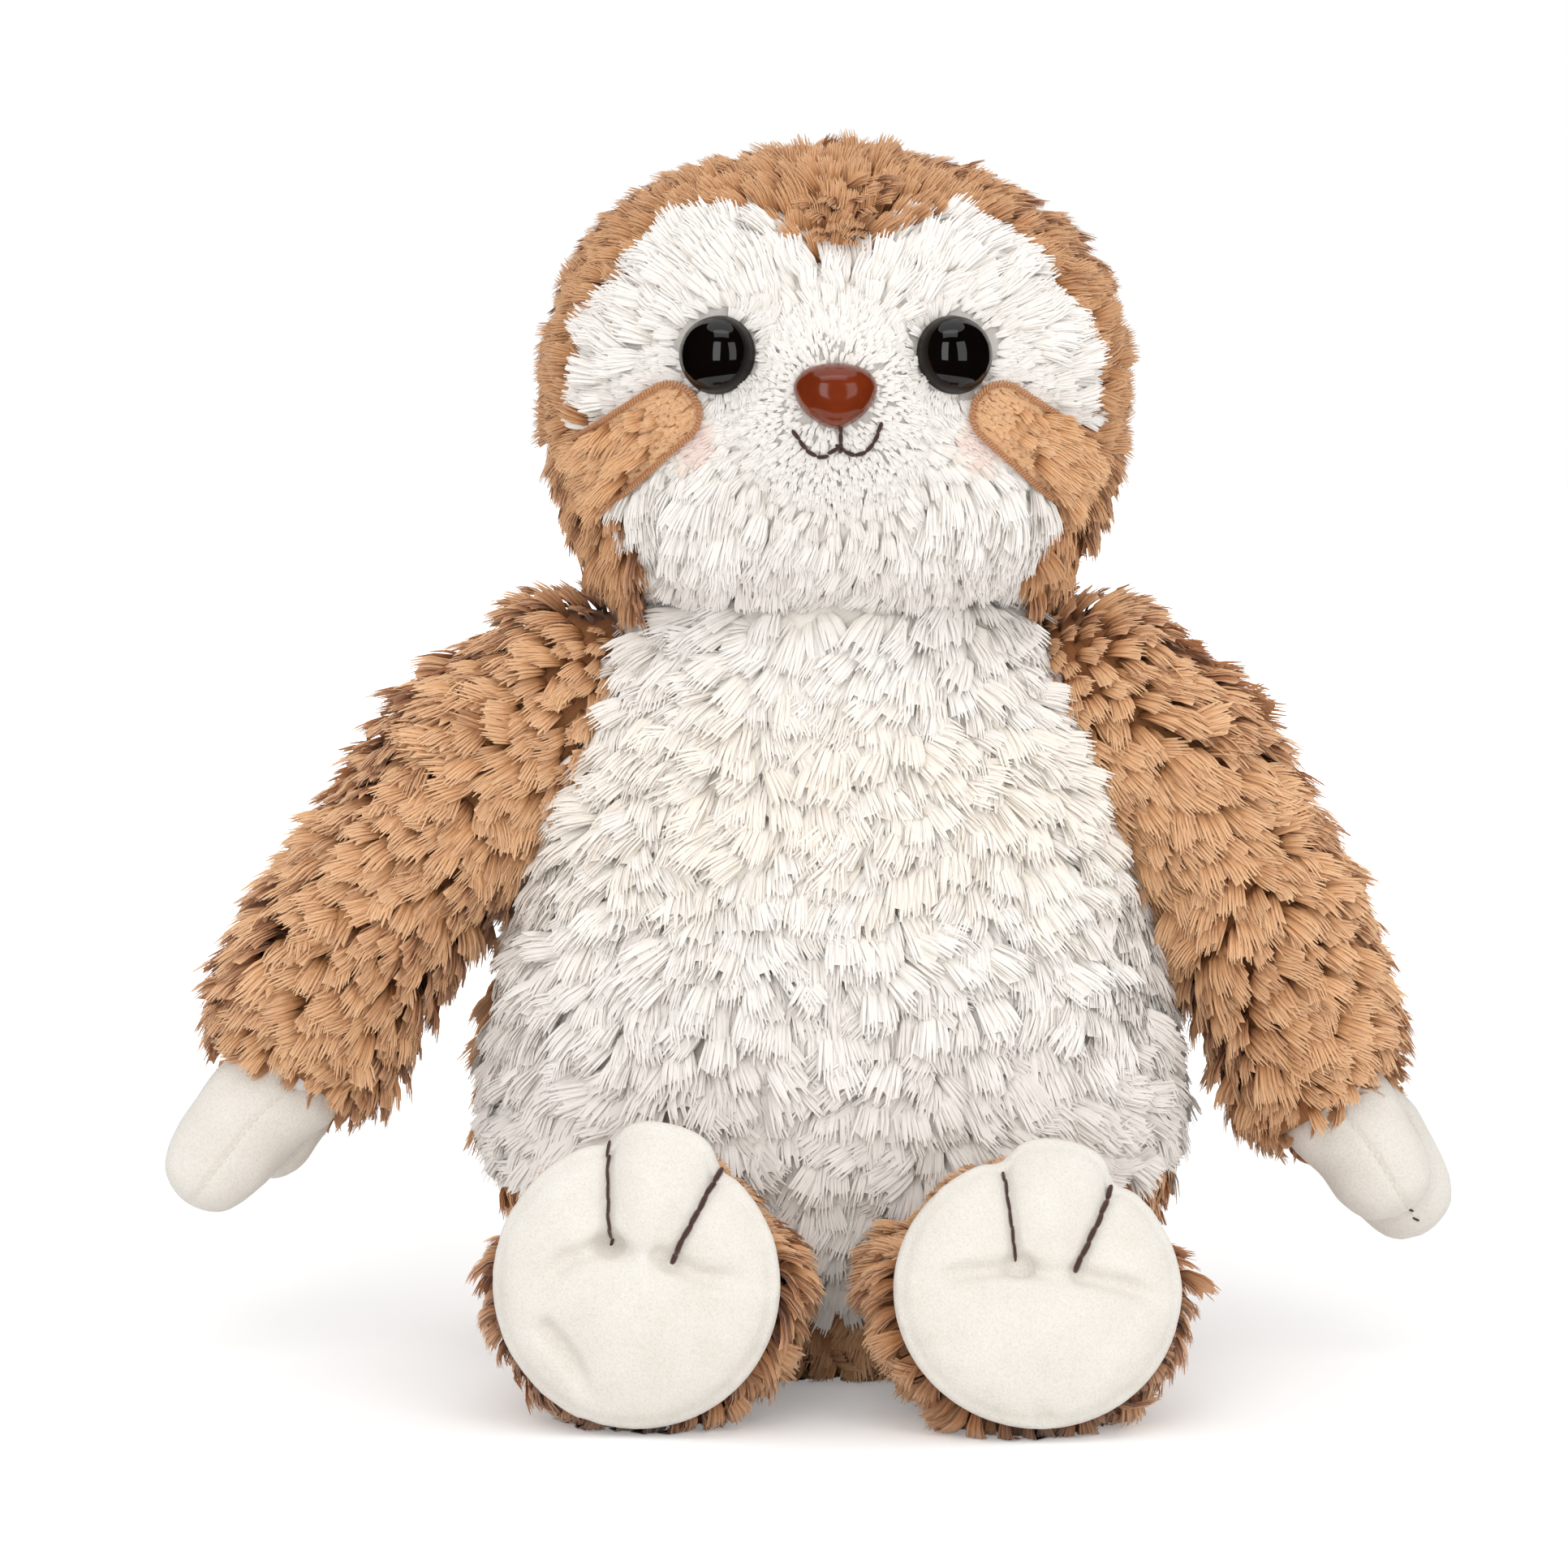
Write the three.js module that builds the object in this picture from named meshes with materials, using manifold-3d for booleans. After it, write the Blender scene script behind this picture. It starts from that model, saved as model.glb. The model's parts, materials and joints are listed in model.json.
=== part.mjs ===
// A seated plush sloth: a stuffed torso, a sewn-on head with plastic eyes and nose, two long
// arms that end in two-lobed mitts, and two short legs with round three-toed soles.
// Millimetres, +Z up. The face looks along -Y, so the toy's own left side is +X.
// The origin is the middle of the flat seat that the toy sits on.
import * as THREE from "three";
import { mergeVertices } from "three/addons/utils/BufferGeometryUtils.js";
import Module from "manifold-3d";

const wasm = await Module();
wasm.setup();

// Fits and cloth
const clearance = 0.35; // between pieces that touch
const swivelClearance = 0.1; // between a ball and the flats of its hollow
const furThickness = 5; // fur cloth: its backing and the lower half of its pile
const feltThickness = 1.6; // flat cloth of the patches below the eyes
const threadDiameter = 1.3; // embroidery floss

// Torso: half widths and half depths of the stuffed form at named heights
const torsoHeight = 164;
const seatHalfWidth = 45;
const seatHalfDepth = 35;
const hipHeight = 13;
const hipHalfWidth = 60;
const hipHalfDepth = 45;
const bellyHeight = 54;
const bellyHalfWidth = 70;
const bellyHalfDepth = 51;
const chestHeight = 106;
const chestHalfWidth = 62;
const chestHalfDepth = 44;
const shoulderHeight = 140;
const shoulderHalfWidth = 51;
const shoulderHalfDepth = 35;
const neckRadius = 32;
const sideSeamSetback = 3; // the side seams run this far in front of the middle
const bellyPanelBottom = 15; // the white cloth ends at the crotch, above the seat

// Pellet pouch that weights the seat
const pouchHalfWidth = 34;
const pouchHalfDepth = 19;
const pouchHeight = 24;
const pouchSetback = 15; // behind the middle, clear of the legs

// Head: measured up from the neck seam
const headHeight = 87;
const headBaseHalfWidth = 45;
const headBaseHalfDepth = 34;
const jawHeight = 12;
const jawHalfWidth = 54;
const jawHalfDepth = 42;
const cheekHeight = 39;
const cheekHalfWidth = 59;
const cheekHalfDepth = 46;
const browHeight = 63;
const browHalfWidth = 54;
const browHalfDepth = 41;
const crownHeight = 80;
const crownHalfWidth = 36;
const crownHalfDepth = 27;
const headTopHalfWidth = 10;
const headForward = 6; // the head sits this far in front of the neck
const muzzleSwell = 5; // the soft snout stands out of the face
const muzzleReach = 17; // and fades over this distance
const neckWadRadius = 23; // firm stuffing that carries the head
const nodForward = 7; // degrees
const nodBack = 6;

// Face panel: a heart-topped outline, measured from the neck seam
const faceHalfWidth = 51;
const faceWidestHeight = 40;
const faceLobeHeight = 74;
const faceLobeSpread = 25;
const facePeakHeight = 66; // the tan point that dips between the lobes
const faceBottomHalfWidth = 43;

// Eyes, nose and mouth
const eyeDiameter = 16;
const eyeDome = 7.5;
const eyeSpacing = 48;
const eyeHeight = 47.5;
const noseWidth = 17;
const noseDepth = 13.2;
const noseDome = 6.5;
const noseHeight = 39.5;
const mouthWidth = 17;
const mouthDrop = 12.2; // from the middle of the nose to the bottom of the smile
const smileRise = 5;
const buttonSink = 1.5; // the eyes and the nose are pulled into the pile this far
const shankDiameter = 4;
const shankLength = 13;
const washerDiameter = 13;
const washerThickness = 1.6;

// Tan patches below the eyes: a drop with its round end at the eye
const patchLength = 30;
const patchRadius = 6;
const patchInset = 27; // its round end, from the middle of the face
const patchHeight = 36;
const patchSlope = 31; // degrees, falling outwards
const patchFlare = 1.5; // its outer end is wider by this factor

// Arms
const shoulderSpread = 50;
const armLength = 106; // from the shoulder to the cuff
const armRootRadius = 20;
const armSwellRadius = 20.5;
const armCuffRadius = 18;
const armBow = 8;
const leftArmSplay = 32; // degrees from straight down
const rightArmSplay = 38;
const armForward = 4; // degrees

// Mitts: two lobes, one in front of the other
const mittRootRadius = 11;
const mittInset = 4; // the wrist seam lies inside the cuff
const lobeHalfWidth = 14;
const lobeHalfDepth = 9;
const lobeSetout = 3.2; // from the middle of the wrist
const lobeLean = 10; // degrees
const frontLobeLength = 32;
const backLobeLength = 35.5;
const wristFlex = 12; // degrees each way
const mittTaper = 20; // degrees, within which the lobes widen from the wrist

// Legs
const hipSpread = 33;
const hipPivotHeight = 27;
const hipForward = 42;
const legLength = 49;
const legRootRadius = 24;
const legEndRadius = 31;
const legSplay = 7.5; // degrees outwards
const legRise = 3.5; // degrees, from the hip to the sole
const leftSoleTilt = 13; // degrees the sole leans back
const rightSoleTilt = 2;
const legRaise = 14; // degrees
const legLower = 25;
const legTaperRoom = 2; // degrees, for the swell between the hip and the sole

// Soles
const soleRadius = 29;
const soleThickness = 5; // at the rim
const soleCrown = 5; // the middle stands out this much further
const toeBulge = 3.6; // the middle toe reaches past the round outline
const toeTurn = 12; // degrees that the middle toe leans to the toy's left, on both soles
const toeSpread = 24; // degrees between a toe line's top and the middle toe
const toeFootSpread = 46; // the same at its foot
const toeLineTop = 0.97; // of the radius
const toeLineFoot = 0.3;
const toeChannel = 2.2; // depth
const toeChannelHalfWidth = 3.4;

// Facets
const torsoSides = 24;
const headSides = 24;
const limbSides = 14;
const neckSides = 20;
const mittSides = 11;
const buttonSides = 16;
const soleSides = 32;
const threadSides = 6;
const patchSides = 8;
const liningSides = 16; // linings and fillings are plainer than the cloth over them
const bodyRings = 12;

const degrees = Math.PI / 180;
const bodySquareness = 2.25; // 2 is an ellipse, more is fuller at the corners
const far = 400; // longer than the toy, for cutting volumes
const swingReach = 80; // longer than any limb's root is deep

// Materials
const finish = (color, roughness) => new THREE.MeshStandardMaterial({ color, roughness, metalness: 0 });
const tanFur = finish("#cf9a66", 0.95);
const whiteFur = finish("#f3eee7", 0.95);
const ivoryVelour = finish("#f4f0e6", 0.9);
const fibreFill = finish("#e9e7e2", 1);
const pouchCloth = finish("#d9d4c8", 0.9);
const blackPlastic = finish("#120d0b", 0.12);
const brownPlastic = finish("#7b2f10", 0.2);
const clearNylon = finish("#e6e4dc", 0.45);
const tanFelt = finish("#d09a6c", 0.9);
const brownThread = finish("#4a281f", 0.7);

// Solids: a closed geometry becomes a manifold to be cut or joined, and comes back as one
function solid(geometry) {
  const bare = geometry.clone();
  bare.deleteAttribute("normal");
  bare.deleteAttribute("uv");
  const merged = mergeVertices(bare, 1e-4);
  return new wasm.Manifold(
    new wasm.Mesh({
      numProp: 3,
      vertProperties: merged.attributes.position.array,
      triVerts: new Uint32Array(merged.index.array),
    }),
  );
}

function geometryOf(manifold) {
  const mesh = manifold.getMesh();
  const geometry = new THREE.BufferGeometry();
  geometry.setAttribute("position", new THREE.BufferAttribute(mesh.vertProperties.slice(), 3));
  geometry.setIndex(new THREE.BufferAttribute(mesh.triVerts.slice(), 1));
  geometry.computeVertexNormals();
  return geometry;
}

// The largest body, without the slivers that a cut can leave
function mainBody(manifold) {
  const bodies = manifold.decompose();
  return bodies.reduce((a, b) => (b.volume() > a.volume() ? b : a));
}

function piece(parent, name, shape, material) {
  const mesh = new THREE.Mesh(shape.isBufferGeometry ? shape : geometryOf(mainBody(shape)), material);
  mesh.name = name;
  parent.add(mesh);
  return mesh;
}

// A geometry of one group, moved into the frame of another
function inFrameOf(target, source, geometry) {
  source.updateWorldMatrix(true, false);
  target.updateWorldMatrix(true, false);
  const matrix = target.matrixWorld.clone().invert().multiply(source.matrixWorld);
  return geometry.clone().applyMatrix4(matrix);
}

// A closed skin through equal rings of points, fanned shut at both ends
function loft(rings) {
  const sides = rings[0].length;
  const points = rings.flat();
  const triangles = [];
  for (let r = 0; r < rings.length - 1; r++) {
    for (let s = 0; s < sides; s++) {
      const a = r * sides + s;
      const b = r * sides + ((s + 1) % sides);
      triangles.push(a, b, b + sides, a, b + sides, a + sides);
    }
  }
  const middleOf = (ring) => ring.reduce((sum, p) => sum.add(p), new THREE.Vector3()).divideScalar(sides);
  const first = points.push(middleOf(rings[0])) - 1;
  const last = points.push(middleOf(rings.at(-1))) - 1;
  const lastRing = (rings.length - 1) * sides;
  for (let s = 0; s < sides; s++) {
    const next = (s + 1) % sides;
    triangles.push(first, next, s, last, lastRing + s, lastRing + next);
  }
  const geometry = new THREE.BufferGeometry().setFromPoints(points);
  geometry.setIndex(triangles);
  return geometry;
}

// A superellipse ring at one height
function ring(halfWidth, halfDepth, height, sides, squareness) {
  const rounded = (c) => Math.sign(c) * Math.abs(c) ** (2 / squareness);
  return Array.from({ length: sides }, (_, s) => {
    const angle = (2 * Math.PI * s) / sides;
    const x = halfWidth * rounded(Math.cos(angle));
    return new THREE.Vector3(x, halfDepth * rounded(Math.sin(angle)), height);
  });
}

// A stuffed form swells smoothly through stations of [half width, half depth, height].
// The offset makes the same form larger or smaller all round.
function stuffedForm(stations, ringCount, sides, offset, squareness = bodySquareness) {
  const curve = new THREE.CatmullRomCurve3(stations.map((s) => new THREE.Vector3(...s)));
  const bottom = stations[0][2];
  const height = stations.at(-1)[2] - bottom;
  const stretch = (height + 2 * offset) / height;
  return curve.getPoints(ringCount).map((p) => {
    const level = bottom - offset + (p.z - bottom) * stretch;
    return ring(p.x + offset, p.y + offset, level, sides, squareness);
  });
}

// Rings of a ball about the origin, from near its top down to the given angle above its middle
function ballRings(radius, lowest) {
  const steps = 5;
  return Array.from({ length: steps }, (_, i) => {
    const angle = (85 - ((85 - lowest) * i) / steps) * degrees;
    return ring(radius * Math.cos(angle), radius * Math.cos(angle), radius * Math.sin(angle), limbSides, 2);
  });
}

// The hollow for a ball, with room for the flats of both to pass each other
const hollowRadius = (radius, sides = limbSides) =>
  (radius + swivelClearance) / Math.cos(Math.PI / sides) ** 2;

// What an arm has inside the torso is cut to this ball, and the torso's hollow lets it turn
const shoulderBall = hollowRadius(armRootRadius);

// The space in which a limb swings about its ball: the ball's hollow and a cone along -Z that touches it
function swingSpace(radius, flare) {
  const hollow = hollowRadius(radius);
  const slope = Math.tan(flare * degrees);
  const mouth = hollow / Math.cos(flare * degrees) + swingReach * slope;
  return loft([...ballRings(hollow, flare), ring(mouth, mouth, -swingReach, limbSides, 2)].reverse());
}

// A limb hangs along -Z from a ball at its root, swells and tapers to its open end, and bows sideways.
// It can run on straight past its end.
function limbForm({ root, swell, end, length, bow, steps, offset, past }) {
  const rings = ballRings(root + offset, 0);
  const radii = new THREE.SplineCurve([
    new THREE.Vector2(0, root),
    new THREE.Vector2(length / 2, swell),
    new THREE.Vector2(length, end),
  ]);
  for (let i = 0; i <= steps; i++) {
    const share = i / steps;
    const radius = radii.getPoint(share).y + offset;
    const shift = bow * Math.sin(Math.PI * share) ** 2 * 0.6 + bow * Math.sin(Math.PI * share) * 0.4;
    rings.push(ring(radius, radius, -share * length, limbSides, 2).map((p) => p.setX(p.x + shift)));
  }
  if (past) {
    rings.push(rings.at(-1).map((p) => new THREE.Vector3(p.x, p.y, p.z - past)));
  }
  return loft(rings.reverse());
}

// A turned solid about +Z from its profile of [radius, height] pairs
const turned = (profile, sides) =>
  new THREE.LatheGeometry(profile.map((p) => new THREE.Vector2(...p)), sides).rotateX(90 * degrees);

const sphereAt = (centre, radius, sides) =>
  new THREE.SphereGeometry(radius, sides, Math.round(sides / 2)).translate(centre.x, centre.y, centre.z);

const boxBetween = (low, high) => {
  const size = high.clone().sub(low);
  return new THREE.BoxGeometry(size.x, size.y, size.z).translate(...low.clone().add(high).divideScalar(2));
};

// The groups that carry the pieces, one for each part that moves
const sloth = new THREE.Group();
const head = new THREE.Group();
head.position.set(0, 0, torsoHeight);
sloth.add(head);

function armGroup(side, splay) {
  const group = new THREE.Group();
  group.position.set(side * shoulderSpread, 0, shoulderHeight);
  group.rotation.set(-armForward * degrees, -side * splay * degrees, 0, "YXZ");
  sloth.add(group);
  return group;
}

function legGroup(side) {
  const group = new THREE.Group();
  group.position.set(side * hipSpread, -hipForward, hipPivotHeight);
  group.rotation.set(-legRise * degrees, 0, side * legSplay * degrees, "ZXY");
  sloth.add(group);
  return group;
}

const limbs = [
  { name: "left", side: 1, arm: armGroup(1, leftArmSplay), leg: legGroup(1), soleTilt: leftSoleTilt },
  { name: "right", side: -1, arm: armGroup(-1, rightArmSplay), leg: legGroup(-1), soleTilt: rightSoleTilt },
];

// Outer forms, each with an offset for its lining, its filling or its clearance
const torsoForm = (offset) =>
  loft(
    stuffedForm(
      [
        [seatHalfWidth, seatHalfDepth, 0],
        [hipHalfWidth, hipHalfDepth, hipHeight],
        [bellyHalfWidth, bellyHalfDepth, bellyHeight],
        [chestHalfWidth, chestHalfDepth, chestHeight],
        [shoulderHalfWidth, shoulderHalfDepth, shoulderHeight],
        [neckRadius, neckRadius, torsoHeight],
      ],
      bodyRings,
      offset < 0 ? liningSides : torsoSides,
      offset,
    ),
  );

function headForm(offset) {
  const rings = stuffedForm(
    [
      [headBaseHalfWidth, headBaseHalfDepth, 0],
      [jawHalfWidth, jawHalfDepth, jawHeight],
      [cheekHalfWidth, cheekHalfDepth, cheekHeight],
      [browHalfWidth, browHalfDepth, browHeight],
      [crownHalfWidth, crownHalfDepth, crownHeight],
      [headTopHalfWidth, headTopHalfWidth, headHeight],
    ],
    bodyRings,
    offset < 0 ? liningSides : headSides,
    offset,
  );
  for (const p of rings.flat()) {
    const fromNose = Math.hypot(p.x, p.z - noseHeight) / muzzleReach;
    const swell = p.y < 0 ? muzzleSwell * Math.exp(-(fromNose ** 2)) : 0;
    p.y -= headForward + swell;
  }
  return loft(rings);
}

const armForm = (offset, past, side) =>
  limbForm({
    root: armRootRadius,
    swell: armSwellRadius,
    end: armCuffRadius,
    length: armLength,
    bow: side * armBow,
    steps: 7,
    offset,
    past,
  });

// A leg runs forwards, and its end leans back with the sole
function legForm(offset, past, tilt) {
  const geometry = limbForm({
    root: legRootRadius,
    swell: (legRootRadius + legEndRadius) / 2 + 1,
    end: legEndRadius,
    length: legLength,
    bow: 0,
    steps: 4,
    offset,
    past,
  }).rotateX(-90 * degrees);
  const point = new THREE.Vector3();
  const { position } = geometry.attributes;
  for (let i = 0; i < position.count; i++) {
    point.fromBufferAttribute(position, i);
    const share = THREE.MathUtils.clamp(-point.y / legLength, 0, 1);
    position.setY(i, point.y + point.z * Math.tan(tilt * degrees) * share ** 2);
  }
  return geometry;
}

// A mitt: a round root inside the cuff and two lobes, one before the other, that lean apart
function mittSolid(offset) {
  const lobe = (length, side) =>
    loft(
      stuffedForm(
        [
          [mittRootRadius * 0.75, lobeHalfDepth * 0.75, 0],
          [lobeHalfWidth * 0.93, lobeHalfDepth * 0.95, length * 0.42],
          [lobeHalfWidth, lobeHalfDepth, length * 0.65],
          [lobeHalfWidth * 0.72, lobeHalfDepth * 0.72, length * 0.9],
          [lobeHalfWidth * 0.2, lobeHalfDepth * 0.2, length],
        ],
        10,
        mittSides,
        offset,
        2,
      ),
    )
      .rotateX((180 + side * lobeLean) * degrees)
      .translate(0, side * lobeSetout, 0);
  const root = sphereAt(new THREE.Vector3(), mittRootRadius + offset, mittSides);
  return solid(root).add(solid(lobe(frontLobeLength, -1))).add(solid(lobe(backLobeLength, 1)));
}

const floorCut = boxBetween(new THREE.Vector3(-far, -far, -far), new THREE.Vector3(far, far, 0));

// A leg swings up and down, and widens to its sole
function legSpace() {
  const taper = Math.atan((legEndRadius - legRootRadius) / legLength) / degrees + legTaperRoom;
  const middle = (legLower - legRaise) / 2;
  return swingSpace(legRootRadius, taper + (legLower + legRaise) / 2).rotateX((middle - 90) * degrees);
}

// Spaces cut out of the torso for the neck, the shoulders and the hips
function torsoHollows() {
  let hollows = solid(sphereAt(head.position, hollowRadius(neckWadRadius, neckSides), neckSides));
  for (const { arm, leg } of limbs) {
    hollows = hollows.add(solid(sphereAt(arm.position, hollowRadius(shoulderBall), limbSides)));
    hollows = hollows.add(solid(inFrameOf(sloth, leg, legSpace())));
  }
  return hollows;
}

// Torso: fur cloth in a white belly panel and a tan back and seat, over fibre fill with a pellet pouch
function buildTorso() {
  const hollows = torsoHollows();
  const shell = solid(torsoForm(0)).subtract(solid(torsoForm(-furThickness))).subtract(hollows);
  const bellySide = (gap) =>
    solid(
      boxBetween(
        new THREE.Vector3(-far, -far, bellyPanelBottom - gap),
        new THREE.Vector3(far, -sideSeamSetback + gap, far),
      ),
    );
  piece(sloth, "belly_panel", shell.intersect(bellySide(0)), whiteFur);
  piece(sloth, "back_panel", shell.subtract(bellySide(clearance)), tanFur);

  const pouch = (offset) =>
    loft(
      stuffedForm(
        [
          [pouchHalfWidth * 0.8, pouchHalfDepth * 0.8, 0],
          [pouchHalfWidth, pouchHalfDepth, pouchHeight * 0.4],
          [pouchHalfWidth * 0.75, pouchHalfDepth * 0.75, pouchHeight * 0.85],
          [pouchHalfWidth * 0.3, pouchHalfDepth * 0.3, pouchHeight],
        ],
        6,
        limbSides,
        offset,
      ),
    ).translate(0, pouchSetback, furThickness + clearance);
  const inside = solid(torsoForm(-furThickness - clearance)).subtract(hollows);
  piece(sloth, "torso_stuffing", inside.subtract(solid(pouch(clearance))), fibreFill);
  piece(sloth, "seat_pellet_pouch", inside.intersect(solid(pouch(0))), pouchCloth);
}

// The neck wad fills the hollows of the torso and the head, and is open to both
function buildNeck() {
  const wad = solid(sphereAt(new THREE.Vector3(), neckWadRadius, neckSides));
  piece(head, "neck_wad", wad, fibreFill);
}

// The space below the head in which it nods on the wad: a shallow dish under all of it
function nodSpace() {
  const rise = far * Math.tan(Math.max(nodForward, nodBack) * degrees);
  return turned([[0, -far], [far, -far], [far, rise], [0, clearance]], limbSides);
}

const headSurface = new THREE.Mesh(headForm(0));

// A place on the face, looked up on the stuffed form, with the way that the face looks there
function faceSpot(x, z) {
  const ray = new THREE.Raycaster(new THREE.Vector3(x, -far, z), new THREE.Vector3(0, 1, 0));
  const hit = ray.intersectObject(headSurface)[0];
  return { point: hit.point, normal: hit.face.normal };
}

// A group that sits on the face with its own +Z pointing out of it and its +Y up
function onFace(x, z) {
  const { point, normal } = faceSpot(x, z);
  const group = new THREE.Group();
  const right = new THREE.Vector3(0, 0, 1).cross(normal).normalize();
  const up = normal.clone().cross(right);
  group.matrix.makeBasis(right, up, normal).setPosition(point);
  group.matrix.decompose(group.position, group.quaternion, group.scale);
  head.add(group);
  return group;
}

const shankTop = -buttonSink;
const shankEnd = shankTop - shankLength;

// Safety eye: a ball-fronted button on a shank
function eyeShape(offset) {
  const radius = eyeDiameter / 2 + offset;
  const shank = shankDiameter / 2 + offset;
  const arcSteps = 6;
  const dome = Array.from({ length: arcSteps + 1 }, (_, i) => {
    const angle = (i / arcSteps) * 90 * degrees;
    return [radius * Math.cos(angle), shankTop + 1 + (eyeDome - 1 + offset) * Math.sin(angle)];
  });
  dome.at(-1)[0] = 0;
  return turned([[0, shankEnd - offset], [shank, shankEnd - offset], [shank, shankTop - offset],
    [radius - 0.8, shankTop - offset], ...dome], buttonSides);
}

// Safety nose: a rounded triangle, point down, domed, on the same shank
function noseShape(offset) {
  const outline = (angle) => {
    const corner = 1 + 0.13 * Math.cos(3 * (angle + 90 * degrees));
    return new THREE.Vector3(
      (noseWidth / 2 + offset) * Math.cos(angle) * corner * 0.97,
      (noseDepth / 2 + offset) * Math.sin(angle) * corner,
      0,
    );
  };
  const levels = 5;
  const rings = [];
  for (let i = 0; i <= levels; i++) {
    const angle = (i / levels) * 84 * degrees;
    const height = shankTop + (noseDome + offset) * Math.sin(angle) - offset * (i === 0);
    rings.push(Array.from({ length: buttonSides }, (_, s) =>
      outline((2 * Math.PI * s) / buttonSides).multiplyScalar(Math.cos(angle) ** 0.8).setZ(height)));
  }
  const shank = turned([[0, shankEnd - offset], [shankDiameter / 2 + offset, shankEnd - offset],
    [shankDiameter / 2 + offset, shankTop + 1], [0, shankTop + 1]], buttonSides);
  return solid(loft(rings)).add(solid(shank));
}

// Locking washer, pushed up the shank against the inside of the cloth
function washerShape(offset) {
  const front = -furThickness - clearance + offset;
  const back = -furThickness - clearance - washerThickness - offset;
  const hole = shankDiameter / 2 + clearance - offset * 0.5;
  const rim = washerDiameter / 2 + offset;
  return turned([[hole, back], [rim, back], [rim, front], [hole, front], [hole, back]], buttonSides);
}

// Face panel outline, from the chin round the cheek and lobe to the dip between the lobes
function faceOutline(gap) {
  const half = [
    [faceBottomHalfWidth, -clearance],
    [faceHalfWidth * 0.95, faceWidestHeight * 0.5],
    [faceHalfWidth, faceWidestHeight],
    [faceHalfWidth * 0.88, (faceWidestHeight + faceLobeHeight) / 2],
    [faceLobeSpread, faceLobeHeight],
    [faceLobeSpread * 0.35, (faceLobeHeight + facePeakHeight) / 2 + 1],
  ];
  const grow = (faceHalfWidth + gap) / faceHalfWidth;
  const place = ([x, z]) => new THREE.Vector2(x * grow, faceWidestHeight + (z - faceWidestHeight) * grow);
  const peak = place([0, facePeakHeight]);
  const right = half.map(place);
  const left = right.map((p) => new THREE.Vector2(-p.x, p.y)).reverse();
  const shape = new THREE.Shape();
  shape.moveTo(0, -far);
  shape.lineTo(right[0].x, -far);
  shape.lineTo(right[0].x, right[0].y);
  shape.splineThru([...right.slice(1), peak]);
  shape.splineThru(left);
  shape.lineTo(left.at(-1).x, -far);
  return shape;
}

// An outline drawn on the front view and pushed through the front of the head
function throughFace(shape, backTo) {
  const prism = new THREE.ExtrudeGeometry(shape, { depth: far, bevelEnabled: false, curveSegments: 2 });
  return prism.rotateX(90 * degrees).translate(0, backTo, 0);
}

// A drop whose round end lies beside the eye and whose point runs out to the tan cheek
function patchOutline(side) {
  const outward = new THREE.Vector2(side * Math.cos(patchSlope * degrees), -Math.sin(patchSlope * degrees));
  const across = new THREE.Vector2(-outward.y, outward.x).multiplyScalar(side);
  const start = new THREE.Vector2(side * patchInset, patchHeight);
  const at = (along, aside) =>
    start.clone().addScaledVector(outward, along).addScaledVector(across, aside);
  const roundEnd = Array.from({ length: patchSides + 1 }, (_, i) => {
    const angle = (90 + (180 * i) / patchSides) * degrees;
    return at(patchRadius * (1 + Math.cos(angle)), patchRadius * Math.sin(angle));
  });
  const farEnd = [at(patchLength, -patchRadius * patchFlare), at(patchLength, patchRadius * patchFlare)];
  return new THREE.Shape([...roundEnd, ...farEnd]);
}

// Mouth: a short line down from the nose that divides into two upturned ends, laid on the face
function mouthSolid(offset) {
  const radius = threadDiameter / 2 + offset;
  const onSurface = ([x, z]) => {
    const { point, normal } = faceSpot(x, z);
    return point.addScaledVector(normal, threadDiameter / 2 - clearance);
  };
  const strand = (spots) => {
    const path = new THREE.CatmullRomCurve3(spots.map(onSurface));
    const section = new THREE.Shape().absarc(0, 0, radius, 0, 2 * Math.PI);
    const steps = { steps: 8, curveSegments: threadSides / 2, bevelEnabled: false, extrudePath: path };
    return solid(new THREE.ExtrudeGeometry(section, steps));
  };
  const low = noseHeight - mouthDrop;
  const half = mouthWidth / 2;
  const lip = strand([[0, noseHeight - noseDepth * 0.62], [0, low + 1.6], [0, low]]);
  const corner = [[half * 0.35, low - 0.4], [half * 0.75, low + smileRise * 0.3], [half, low + smileRise]];
  const otherCorner = corner.map(([x, z]) => [-x, z]).reverse();
  const smile = strand([...otherCorner, [0, low + 0.6], ...corner]);
  return lip.add(smile);
}

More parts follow.
